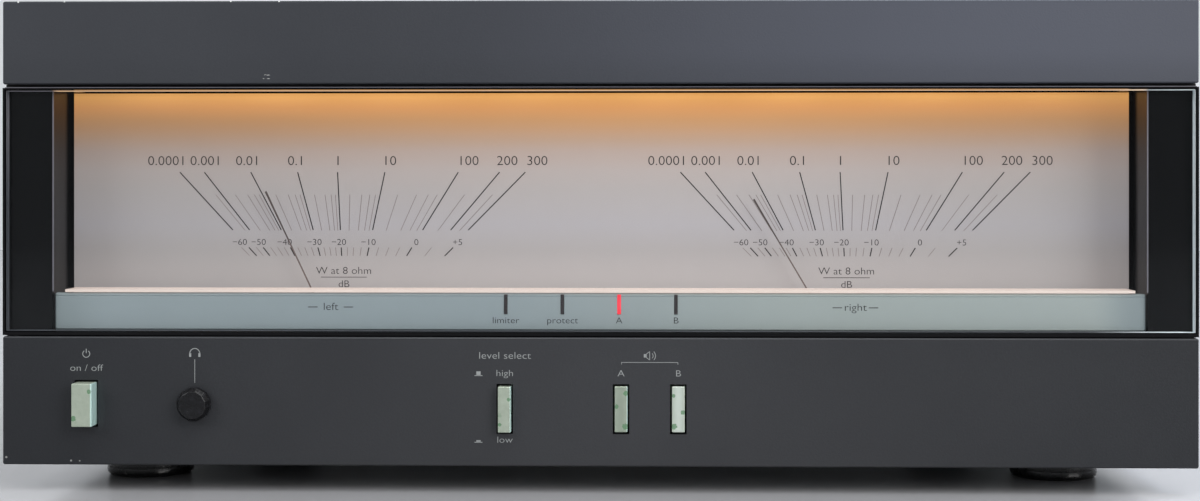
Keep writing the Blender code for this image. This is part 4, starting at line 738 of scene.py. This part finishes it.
for side, tail, foot, tip in (
    ("left", (-95.2, 42.9), (-110.6, 74.0), (-129.2, 113.3)),
    ("right", (102.4, 43.1), (81.8, 74.0), (60.3, 110.3)),
):
    shaft = (middle_of(f"{side}_meter_movement").x / MM, SHAFT_HEIGHT)
    bend, sight_foot = between(foot, shaft, 0.25), between(foot, tip, 0.62)
    arm = blade([(*tail, 3.0), (*shaft, 1.6), (*bend, 0.8), (*foot, 0.5), (*sight_foot, 0.5), (*tip, 0.75)])
    hub = lathed(HUB, at(shaft[0], SHAFT_DEPTH, shaft[1]), FORWARD, 24)
    node = f"{side}_pointer"
    finished(f"{side}_needle", gather([arm, hub]), needle, node, [node])


# Meter frame: one glossy black moulding behind the glass, with a dark cheek at each side and
# a deep recess for the dial. It is screwed to the front subchassis.
gloss_black = Finish("frame_plastic", tint(16, 16, 18), 0.24, 0.0, specular=0.16)
dust = gloss_black.cells(330.0).rise(0.02, 0.07)
gloss_black.paint(
    base_color=gloss_black.blend(tint(52, 54, 58), tint(14, 14, 16), dust),
    roughness=0.5 - dust * 0.34 + gloss_black.noise(140.0) * 0.08,
)
gloss_black.relief(gloss_black.noise(500.0), 0.00001)
gloss_black.dress("meter_frame")
# Painted highlight: a pale strip down the inner edge of each cheek stands for light caught by that edge.
edge_highlight_paint = Finish("cheek_painted_highlight", tint(112, 110, 118), 0.3).dull(0.26, 600.0, 0.2)
cheek_highlights = [slab(at(x - 0.25, 3.1, 75.4), at(x + 0.25, 3.6, 151.4), 0.12, 2) for x in (-206.8, 206.8)]
finished("cheek_painted_highlights", gather(cheek_highlights), edge_highlight_paint)


# Lamp strip: a folded tinplate channel over the slot in the frame's ceiling, with a row of
# small amber lamps under its roof that light the dial from above.
lamp_tin = Finish("lamp_tin", tint(196, 190, 176), 0.34, 0.6)
lamp_row = (lamp_tin.x + 0.225).maths("MODULO", 0.05) - 0.025
lamp_glass = (1 - abs(lamp_row).rise(0.0031, 0.0034)) * (1 - lamp_tin.z.rise(0.1621, 0.1623))
lamp_tin.paint(
    base_color=lamp_tin.blend(tint(196, 190, 176), tint(255, 186, 92), lamp_glass),
    emission_color=lamp_tin.blend((0, 0, 0, 1), tint(255, 176, 78), lamp_glass),
    emission_strength=2.0,
    roughness=0.3 + lamp_tin.noise(500.0) * 0.2,
)
lamp_tin.dress("lamp_strip")


# Dial plate: one long pale card for both meters. Both power scales are printed on it: long lines
# and numbers in watts above, decibels below. The lamps' light on it is painted: a painted glow
# over the whole card, amber along its top, and a colour painted amber towards the top.
card_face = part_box("dial_plate")[0].y
card = Finish("dial_card", tint(180, 176, 174), 0.6)
level = (card.z - 0.0762) / (0.1516 - 0.0762)
# Painted light: the glow is strongest in the middle of the card, weaker near its ends along the top, and
# runs in spots under the lamps.
middle = card.x.near(0.022, 0.250) * 0.42 + 0.74
painted_glow_near_lamps = 1 - abs(card.x).rise(0.13, 0.21) * 0.16
top = level.rise(0.82, 0.98)
painted_lamp_spots = (card.x * (math.tau / 0.050)).maths("COSINE") * level.rise(0.86, 1.0) * -0.05
painted_glow_strength = (middle * (1 - top) + painted_glow_near_lamps * top + painted_lamp_spots) * (card.noise(14.0, 2.0) * 0.10 + 0.95)
painted_lamp_glow = card.ramp(level, [
    (0.0, tint(138, 129, 128)), (0.19, tint(119, 113, 114)), (0.32, tint(127, 123, 129)),
    (0.5, tint(133, 126, 126)), (0.7, tint(149, 132, 126)), (0.757, tint(157, 130, 112)),
    (0.86, tint(182, 134, 92)), (0.93, tint(211, 147, 90)), (0.98, tint(228, 165, 94)),
    (1.0, tint(214, 152, 84)),
])
painted_glow_strengths = card.node("ShaderNodeCombineXYZ", None, {0: painted_glow_strength, 1: painted_glow_strength, 2: painted_glow_strength})
multiplied = {"data_type": "RGBA", "blend_type": "MULTIPLY"}
# The card's colour is painted amber towards its top, for the lamps' light there.
card.dull(0.5, 1500.0, 0.2).paint(
    base_color=card.ramp(level, [
        (0.0, tint(150, 147, 147)), (0.6, tint(146, 140, 138)),
        (0.82, tint(140, 112, 88)), (1.0, tint(150, 112, 70)),
    ]),
    emission_color=card.node("ShaderNodeMix", multiplied, {0: 1.0, 6: painted_lamp_glow, 7: painted_glow_strengths}, output=2),
    emission_strength=1.0,
)
card.relief(card.noise(2400.0), 0.00002)
card.dress("dial_plate")
dial_ink = Finish("dial_ink", tint(38, 33, 35), 0.55).dull(0.5, 1500.0, 0.15)
faint_ink = Finish("faint_dial_ink", tint(148, 137, 136), 0.55).dull(0.5, 1500.0, 0.15)
LEANS = (
    (-4.5, 44.8), (-4.0, 42.7), (-3.0, 38.2), (-2.0, 27.9), (-1.0, 15.1), (0.0, 2.8), (0.5, -3.9),
    (1.0, -12.0), (2.0, -31.7), (2.301, -40.2), (2.5, -45.2),
)
WATTS = (
    ("0.0001", -70.5), ("0.001", -55.2), ("0.01", -38.7), ("0.1", -19.7), ("1", -3.3), ("10", 16.9),
    ("100", 47.7), ("200", 62.9), ("300", 74.6),
)
DECIBELS = (
    ("−60", -41.9), ("−50", -34.5), ("−40", -24.3), ("−30", -12.6), ("−20", -3.0), ("−10", 8.6),
    ("0", 27.4), ("+5", 43.5),
)
MINOR_WATTS = [0.0005, 150, 250] + [step * 10 ** decade for decade in range(-3, 2) for step in (2, 4, 6, 8)]
LONG_LINE, SHORT_LINE = (98.2, 120.8), (98.0, 112.0)
DECIBEL_LINE = (88.1, 91.4)
BOLD, FINE = 0.42, 0.26


def lean(power):
    """The angle of a power in watts from upright, left positive, in radians."""
    place = math.log10(power)
    for (low, left), (high, right) in zip(LEANS, LEANS[1:]):
        if place <= high:
            return math.radians(left + (right - left) * (place - low) / (high - low))
    return math.radians(LEANS[-1][1])


def on_card(pivot, x, z):
    """A point on the card, x millimetres from the pivot and z above the floor."""
    return Vector((pivot.x + x * MM, card_face - INK * MM, z * MM))


def scale_line(page, pivot, power, heights, width):
    """A line for a power in watts that points at the pivot, between two heights in millimetres."""
    slope = math.tan(lean(power))
    stroke(page, *(on_card(pivot, -slope * (z - pivot.z / MM), z) for z in heights), width)


black_page, faint_page = bmesh.new(), bmesh.new()
for pivot in (Vector((-0.0983, 0, 0.0499)), Vector((0.0975, 0, 0.0499))):
    for words, x in WATTS:
        scale_line(black_page, pivot, float(words), LONG_LINE, BOLD)
        print_words(black_page, words, on_card(pivot, x, 125.3), 3.5, wide=1.08)
    for power in MINOR_WATTS:
        scale_line(faint_page, pivot, power, SHORT_LINE, FINE)
    for half_steps in (-26, -24, -22, *range(-20, 3)):
        decibels = half_steps * 2.5
        major = half_steps % 4 == 0 or half_steps == 2
        power = 10 ** ((decibels + 20) / 10)
        page, width = (black_page, BOLD) if major else (faint_page, FINE)
        scale_line(page, pivot, power, DECIBEL_LINE, width)
    for words, x in DECIBELS:
        print_words(black_page, words, on_card(pivot, x, 93.5), 2.3, wide=1.1)
    stroke(black_page, on_card(pivot, -10.0, 79.8), on_card(pivot, 8.0, 79.8), 0.24)
    print_words(black_page, "W at 8 ohm", on_card(pivot, -1.0, 82.4), 2.7, wide=1.1)
    print_words(black_page, "dB", on_card(pivot, -1.0, 77.2), 2.6, wide=1.1)
finished("dial_print", black_page, dial_ink)
finished("dial_print_faint", faint_page, faint_ink)


# Shelf: a thin white strip along the foot of the dial, which hides the needles' slot. The lamps'
# light on it is painted in as a glow.
shelf = Finish("shelf_white", tint(220, 206, 196), 0.3)
shelf.paint(
    base_color=shelf.blend(tint(212, 198, 190), tint(226, 212, 204), shelf.noise(90.0)),
    # Painted light: the shelf glows in place of the lamps' light falling on it.
    emission_color=shelf.blend(tint(140, 126, 120), tint(158, 138, 128), shelf.noise(30.0)),
    emission_strength=1.0,
    roughness=0.24 + shelf.noise(700.0) * 0.16,
)
shelf.dress("dial_shelf")


# Legend bar: a sage green lacquered aluminium bar under the dial, with a fine line milled near
# its top, four slits for the indicator lenses, and small words printed by them.
sage = Finish("sage_metal", tint(150, 161, 163), 0.42)
# Painted shade: the bar darkens towards both ends.
painted_shade_at_ends = abs(sage.x).rise(0.185, 0.207)
brushed = sage.noise(1.0, 3.0, 0.6, sage.stretch(30.0, 900.0, 1800.0))
milled = sage.z.near(0.0736, 0.00035)
# Painted light: the bar is painted lighter towards the right, where the light falls.
sage.paint(
    base_color=sage.blend(
        sage.blend(tint(162, 172, 176), tint(176, 183, 181), sage.x.rise(-0.05, 0.09) * (1 - painted_shade_at_ends)),
        tint(138, 148, 150),
        painted_shade_at_ends * 0.6 + milled * 0.5,
    ),
    roughness=0.34 + brushed * 0.16,
)
sage.relief(brushed * 0.2 - milled, 0.0001)
sage.dress("legend_bar")
page = bmesh.new()
bar_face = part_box("legend_bar")[0].y - INK * MM
LEGENDS = {"limit": "limiter", "protection": "protect", "speaker_a": "A", "speaker_b": "B"}
for name, words in LEGENDS.items():
    spot = Vector((middle_of(f"{name}_lens").x, bar_face, 0.0646))
    print_words(page, words, spot, 2.3, wide=1.15)
for words, x in (("left", -0.1011), ("right", 0.0977)):
    print_words(page, words, Vector((x, bar_face, 0.0697)), 2.7, wide=1.15)
    for sign in (-1, 1):
        near, far = (Vector((x + sign * run * MM, bar_face, 0.0695)) for run in (5.0, 8.6))
        stroke(page, *((near, far) if sign > 0 else (far, near)), 0.3)
finished("legend_print", page, dial_ink)


# Indicator lenses: four narrow acrylic bars in the slits. The third is lit red, because the
# first pair of loudspeakers is switched on, and the others are smoked and dark.
lit = Finish("lit_lens", tint(226, 70, 80), 0.25)
lit.paint(
    emission_color=lit.blend(tint(218, 30, 46), tint(236, 58, 72), lit.z.near(0.0706, 0.0034)),
    emission_strength=0.9,
)
smoked = Finish("dark_lens", tint(62, 58, 60), 0.22)
smoked.paint(base_color=smoked.blend(tint(52, 48, 50), tint(78, 72, 74), smoked.noise(600.0)))
SWELL = Vector((0.12 * MM, 0, 0))
for name in LEGENDS:
    low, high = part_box(f"{name}_lens")
    lens = slab(low - SWELL, high + SWELL, 0.12, 2)
    finish, slot = (lit, "red_lens") if name == "speaker_a" else (smoked, "dark_lens")
    finished(f"{name}_lens_bar", lens, finish, instead_of=[f"{name}_lens"])


# Window glass: a 3 mm float glass plate across the whole front, ground along its edges, and
# held in the meter frame's rebate between the two panels.
glass = Finish("window_glass", (0.9, 0.93, 0.92, 1.0), 0.03)
clear = glass.tree.nodes.new("ShaderNodeBsdfTransparent")
clear.inputs["Color"].default_value = (0.955, 0.965, 0.965, 1.0)
mirror = glass.tree.nodes.new("ShaderNodeBsdfGlossy")
mirror.inputs["Roughness"].default_value = 0.03
mirror.inputs["Color"].default_value = (0.9, 0.93, 0.95, 1.0)
slant = glass.node("ShaderNodeLayerWeight", None, {"Blend": 0.14}, "Facing")
mixed = glass.tree.nodes.new("ShaderNodeMixShader")
for socket, source in zip(mixed.inputs, (slant.socket, clear.outputs[0], mirror.outputs[0])):
    glass.tree.links.new(source, socket)
glass.tree.links.new(mixed.outputs[0], glass.tree.nodes["Material Output"].inputs["Surface"])
ground_edge_and_highlight = Finish("ground_edge_painted_highlight", tint(120, 122, 128), 0.4)
# Painted light on the ground edges: lighter towards the top, much lighter at the right end as a painted
# highlight, and a painted amber glow from the lamps along the top edge over the dial.
painted_light_upward = ground_edge_and_highlight.z.rise(0.100, 0.150)
edge_tone_and_painted_light = ground_edge_and_highlight.blend(tint(66, 70, 76), tint(104, 102, 108), painted_light_upward + ground_edge_and_highlight.noise(400.0) * 0.2)
ground_edge_and_highlight.vary(edge_tone_and_painted_light, tint(226, 234, 238), ground_edge_and_highlight.x.rise(0.180, 0.2235), 0.34, 900.0, 0.2)
painted_lamp_glow_over_dial = painted_light_upward * (1 - abs(ground_edge_and_highlight.x).rise(0.204, 0.207))
ground_edge_and_highlight.paint(
    emission_color=ground_edge_and_highlight.blend((0, 0, 0, 1), tint(226, 182, 132), painted_lamp_glow_over_dial),
    emission_strength=0.7,
)
pane = slab(*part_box("window_glass"), 0.25, 2)
plate = finished("window_plate", pane, glass, instead_of=["window_glass"])
plate.data.materials.append(ground_edge_and_highlight.material)
for face in plate.data.polygons:
    face.material_index = int(abs(face.normal.y) < 0.99)
rubber = Finish("seam_rubber", tint(18, 18, 19), 0.7).dull(0.6, 900.0, 0.2)
seams = [
    slab(at(-224.8, 3.4, 152.0), at(224.8, 5.6, 153.95), 0.1, 2),
    slab(at(-224.8, 3.4, 58.6), at(224.8, 5.6, 60.2), 0.1, 2),
]
finished("seam_strips", gather(seams), rubber)
# Painted highlight: a pale strip along the seam under the upper panel stands for light caught by the frame's
# edge.
seam_highlight = slab(at(-224.6, 1.2, 152.5), at(224.6, 3.3, 152.95), 0.12, 2)
finished("seam_painted_highlight", seam_highlight, edge_highlight_paint)


# Lower and upper front panels: 6 mm aluminium bars in a satin slate grey enamel, with light
# grey printed words. Handling has chipped the enamel in a few places along the edges.
slate = Finish("fascia_paint", tint(50, 52, 56), 0.42, 0.0, specular=0.35)
orange_peel = slate.noise(1300.0, 3.0, 0.5)
clouding = slate.noise(16.0, 3.0)
specks = slate.cells(240.0).rise(0.008, 0.022)
TOP_CHIPS = ((-219.1, 185.2, 0.42), (-201.5, 185.2, 0.3), (-138.2, 185.3, 0.34), (-119.9, 185.3, 0.4))
LOW_CHIPS = ((-223.6, 12.8, 0.45), (-198.9, 11.6, 0.45), (-195.6, 11.5, 0.35))
chips = sum(slate.fleck(*chip) for chip in TOP_CHIPS) + sum(slate.fleck(*chip) for chip in LOW_CHIPS) * 0.4
streaks = slate.noise(1.0, 2.0, 0.5, slate.stretch(500.0, 1.0, 1600.0)).rise(0.6, 0.66)
scratches = slate.fleck(-124.3, 156.2, 1.7, 0.9) * streaks
wear = (chips + scratches * 0.7).maths("MINIMUM", 1.0)
# Painted light: the upper panel is painted lighter and bluer towards the right as a painted sheen, and a
# little darker along its lower edge as painted shade.
upper = slate.blend(tint(50, 52, 57), tint(74, 77, 87), slate.x.near(0.16, 0.27))
upper = slate.blend(upper, tint(42, 44, 48), slate.z.near(0.154, 0.014) * 0.3)
# Painted shade: the lower panel is painted darker than the upper one, least dark in the middle.
lower = slate.blend(tint(27, 29, 33), tint(48, 49, 52), slate.x.near(0.0, 0.27))
# Painted highlight: a lighter line along the top edge of the lower panel.
panel_edge_painted_highlight = slate.z.near(0.0583, 0.0005)
grain = (1 - specks) * 0.4 + (orange_peel * 0.5 + clouding * 0.5).rise(0.3, 0.9) * 0.1
# Painted light and shade: one enamel, coloured lighter on the upper panel and darker on the lower.
panels_painted_light_and_shade = slate.blend(lower, upper, slate.z.rise(0.10, 0.12))
grain_and_painted_light = slate.blend(panels_painted_light_and_shade, tint(92, 94, 98), grain + panel_edge_painted_highlight * 0.5)
slate.paint(
    base_color=slate.blend(grain_and_painted_light, tint(196, 196, 192), wear),
    roughness=0.38 + orange_peel * 0.12 + clouding * 0.05,
)
slate.relief(orange_peel - wear * 2.0, 0.00003)
slate.dress("lower_fascia", "top_fascia")
pale_ink = Finish("panel_ink", tint(142, 145, 145), 0.5).dull(0.42, 1800.0, 0.2)
page = bmesh.new()
face = FRONT - INK * MM
BUTTONS = ("power", "output", "speaker_a", "speaker_b")
button_x = {name: middle_of(f"{name}_button").x for name in BUTTONS}
for words, x, z, height in (
    ("on / off", button_x["power"], 0.0467, 2.4),
    ("high", button_x["output"], 0.0451, 2.3),
    ("low", button_x["output"], 0.0200, 2.3),
    ("level select", button_x["output"], 0.0517, 2.5),
    ("A", button_x["speaker_a"], 0.0451, 2.3),
    ("B", button_x["speaker_b"], 0.0451, 2.3),
):
    print_words(page, words, Vector((x, face, z)), height, wide=1.2)


def chain(page, points, width):
    """A printed line through several (x, z) points in millimetres."""
    spots = [Vector((x * MM, face, z * MM)) for x, z in points]
    for start, end in zip(spots, spots[1:]):
        stroke(page, start, end, width)


def arc(x, z, radius, start, end, steps=10):
    """Points on an arc, with its angles in degrees from the right."""
    angles = [math.radians(start + (end - start) * step / steps) for step in range(steps + 1)]
    return [(x + radius * math.cos(angle), z + radius * math.sin(angle)) for angle in angles]


phones_x = middle_of("phones_cap").x / MM
chain(page, [(phones_x, 50.0), (phones_x, 41.1)], 0.22)
chain(page, arc(phones_x, 52.2, 1.9, 0, 180, 14), 0.32)
for sign in (-1, 1):
    chain(page, [(phones_x + sign * 1.75, 52.3), (phones_x + sign * 1.75, 50.9)], 0.8)
power_x = button_x["power"] / MM
chain(page, arc(power_x, 52.0, 1.35, 125, 415, 16), 0.3)
chain(page, [(power_x, 52.2), (power_x, 53.9)], 0.3)
speakers_x = (button_x["speaker_a"] + button_x["speaker_b"]) / 2 / MM
CONE = ((-1.2, 51.0), (0, 50.1), (0, 53.3), (-1.2, 52.4), (-1.2, 51.0))
BRACKET = ((-10.6, 48.4), (-10.6, 49.2), (10.6, 49.2), (10.6, 48.4))
chain(page, [(speakers_x - 2.2, 51.7), (speakers_x - 1.2, 51.7)], 1.3)
chain(page, [(speakers_x + x, z) for x, z in CONE], 0.26)
chain(page, arc(speakers_x, 51.7, 1.3, -45, 45, 6), 0.26)
chain(page, arc(speakers_x, 51.7, 2.2, -45, 45, 8), 0.26)
chain(page, [(speakers_x + x, z) for x, z in BRACKET], 0.2)
output_x = button_x["output"] / MM
for low, high in ((44.1, 45.7), (19.0, 19.8)):
    chain(page, [(output_x - 11.4, low), (output_x - 8.4, low)], 0.3)
    chain(page, [(output_x - 9.9, low), (output_x - 9.9, high)], 1.6)
finished("panel_print", page, pale_ink)


# Push buttons: four solid aluminium bars in a pale champagne anodising that has gone green in
# spots, each pressed on the stem of its switch.
champagne = Finish("champagne_metal", tint(172, 184, 166), 0.34, 0.55)
mottle = champagne.noise(420.0, 4.0, 0.65)
bloom = champagne.noise(150.0, 3.0, 0.6).rise(0.6, 0.72) * 0.5
for x, z, size in (
    (11.0, 37.6, 1.1), (7.6, 32.6, 0.9), (10.8, 25.2, 1.3), (29.2, 25.2, 1.2), (32.6, 30.4, 1.0),
    (29.0, 36.8, 0.8), (-196.2, 28.2, 1.2), (-190.2, 38.4, 0.9), (-36.2, 26.0, 0.8), (-32.8, 35.4, 0.8),
):
    bloom = bloom + champagne.fleck(x, z, size, 0.9)
bloom = bloom.maths("MINIMUM", 1.0)
# Painted highlight: the right-hand edges of three bars are painted pale mint, for light falling from the
# right.
PAINTED_HIGHLIGHT_EDGES = ((-0.1892, 0.0009), (-0.0320, 0.0006), (0.0118, 0.0006))
painted_edge_highlights = sum(champagne.x.near(*edge) for edge in PAINTED_HIGHLIGHT_EDGES)
tone_and_painted_light = champagne.blend(tint(166, 178, 160), tint(192, 202, 186), mottle)
# The A button's bar is coloured a little darker and the B button's bar lighter.
tone_and_painted_light = champagne.blend(tone_and_painted_light, tint(156, 168, 152), champagne.x.near(0.0093, 0.004) * 0.8)
tone_and_painted_light = champagne.blend(tone_and_painted_light, tint(218, 228, 218), champagne.x.near(0.0308, 0.004) * 0.9)
tone_and_painted_light = champagne.blend(tone_and_painted_light, tint(214, 248, 242), painted_edge_highlights)
champagne.paint(
    base_color=champagne.blend(tone_and_painted_light, tint(98, 140, 104), bloom * 0.85),
    roughness=0.3 + mottle * 0.18 + bloom * 0.2,
)
champagne.relief(mottle - bloom * 0.5, 0.00005)
BAR_BACK = FRONT + 8.3 * MM
STEM_FRONT = FRONT + 8.0 * MM
STEM_REACH = Vector((1.3, 0, 2.5)) * MM
for name in BUTTONS:
    node = f"{name}_button"
    low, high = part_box(node)
    middle = (low + high) / 2
    bar = slab(low - SWELL, Vector((high.x, BAR_BACK, high.z)) + SWELL, 0.35)
    stem_low, stem_high = (Vector((middle.x, y, middle.z)) for y in (STEM_FRONT, high.y))
    stem = slab(stem_low - STEM_REACH, stem_high + STEM_REACH, 0.2, 2)
    finished(f"{node}_bar", gather([bar, stem]), champagne, node, [node])


# Headphone socket's cap: a turned black plug with twelve facets milled round its front edge,
# which pulls off to free the socket.
def faceted_cap(place):
    """Rings of twelve corners from the plug's end to the front face, then softened."""
    bm = bmesh.new()
    bmesh.ops.create_circle(bm, cap_ends=True, segments=12, radius=5.1 * MM)
    edges = bm.edges[:]
    for radius, run in ((6.4, 2.0), (6.4, 4.7)):
        edges = drawn(bm, edges, radius, run)
    bmesh.ops.contextual_create(bm, geom=edges)
    bmesh.ops.rotate(bm, cent=(0, 0, 0), matrix=Matrix.Rotation(math.radians(15), 3, "Z"), verts=bm.verts)
    bmesh.ops.recalc_face_normals(bm, faces=bm.faces)
    soften(bm, bm.edges[:], 0.22, 3)
    plug = lathed([(0, 4.6), (2.85, 4.6), (2.85, 9.2), (2.3, 10.0), (0, 10.0)], Vector(), UP, 32)
    whole = gather([bm, plug])
    whole.transform(facing(BACK, place))
    return whole


cap_black = Finish("cap_plastic", tint(14, 14, 16), 0.2, 0.0, specular=0.4)
cap_black.vary(tint(11, 11, 13), tint(26, 26, 30), cap_black.noise(500.0).rise(0.45, 0.8), 0.2, 900.0, 0.16)
cap_black.relief(cap_black.noise(2000.0), 0.00002)
turned = faceted_cap(middle_of("phones_cap", "y"))
finished("phones_cap_turned", turned, cap_black, "phones_cap", ["phones_cap"], crease=20.0)


# Top cover: one sheet of 1.2 mm steel folded down both sides, with two rows of vent slots over
# the heat sinks, in black enamel. Four screws a side hold it.
COVER_SCREW = 3.6
cover_low, cover_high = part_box("top_cover")
for side, sign in SIDES:
    x = cover_high.x if sign > 0 else cover_low.x
    places = [Vector((x, cover_low.y + run, z)) for run in (0.030, 0.345) for z in (0.024, 0.150)]
    screws(f"{side}_cover_screws", places, (sign, 0, 0), COVER_SCREW, black_screw)


# Studio: a pale floor that runs up into a pale backdrop, large soft lamps above and in front,
# and the camera where the photographer stood, close to the window and a little to its right.
def studio_sheet(name, corners, finish):
    bm = bmesh.new()
    bm.faces.new([bm.verts.new(corner) for corner in corners])
    mesh = bpy.data.meshes.new(name)
    bm.to_mesh(mesh)
    bm.free()
    mesh.materials.append(finish.material)
    sheet = bpy.data.objects.new(name, mesh)
    bpy.context.scene.collection.objects.link(sheet)


floor = Finish("studio_floor", tint(162, 162, 164), 0.2)
floor.paint(roughness=0.12 + floor.noise(8.0) * 0.08)
studio_sheet("floor", [(-4, -3, 0), (4, -3, 0), (4, 2.2, 0), (-4, 2.2, 0)], floor)
backdrop = Finish("studio_backdrop", tint(226, 227, 228), 0.8)
studio_sheet("backdrop", [(-4, 2.2, 0), (4, 2.2, 0), (4, 2.2, 3.2), (-4, 2.2, 3.2)], backdrop)
world = bpy.data.worlds.new("studio_air")
bpy.context.scene.world = world
world.use_nodes = True
world.node_tree.nodes["Background"].inputs["Color"].default_value = (0.94, 0.97, 1.0, 1.0)
world.node_tree.nodes["Background"].inputs["Strength"].default_value = 0.22


def soft_lamp(name, place, target, size, power, colour=(1.0, 1.0, 1.0)):
    lamp = bpy.data.lights.new(name, "AREA")
    lamp.shape = "RECTANGLE"
    lamp.size, lamp.size_y = size
    lamp.energy = power
    lamp.color = colour
    holder = bpy.data.objects.new(name, lamp)
    holder.location = place
    holder.rotation_euler = (Vector(target) - Vector(place)).to_track_quat("-Z", "Y").to_euler()
    bpy.context.scene.collection.objects.link(holder)


soft_lamp("overhead", (0.5, -0.6, 1.9), (0, -0.1, 0.1), (2.4, 1.6), 42.0)
soft_lamp("right_front", (1.9, -1.9, 1.1), (0.1, -0.1, 0.1), (1.4, 1.4), 50.0, (1.0, 0.99, 0.98))
soft_lamp("left_front", (-1.8, -1.6, 1.3), (0, -0.1, 0.1), (1.2, 1.2), 26.0, (0.95, 0.98, 1.0))
soft_lamp("right_sky", (1.3, 0.2, 1.6), (0, -0.1, 0.1), (1.0, 1.0), 28.0, (0.74, 0.84, 1.0))
soft_lamp("behind", (-0.6, 1.7, 1.6), (0, 0, 0.1), (1.8, 1.0), 16.0)

camera = bpy.data.cameras.new("camera")
camera.lens = 55.87
camera.shift_y = -0.0593
camera.clip_start = 0.02
viewpoint = bpy.data.objects.new("camera", camera)
viewpoint.location = (0.018, FRONT - 0.700, 0.118)
viewpoint.rotation_euler = (math.pi / 2, 0, math.radians(1.36))
bpy.context.scene.collection.objects.link(viewpoint)
bpy.context.scene.camera = viewpoint
bpy.context.scene.view_settings.view_transform = "Standard"
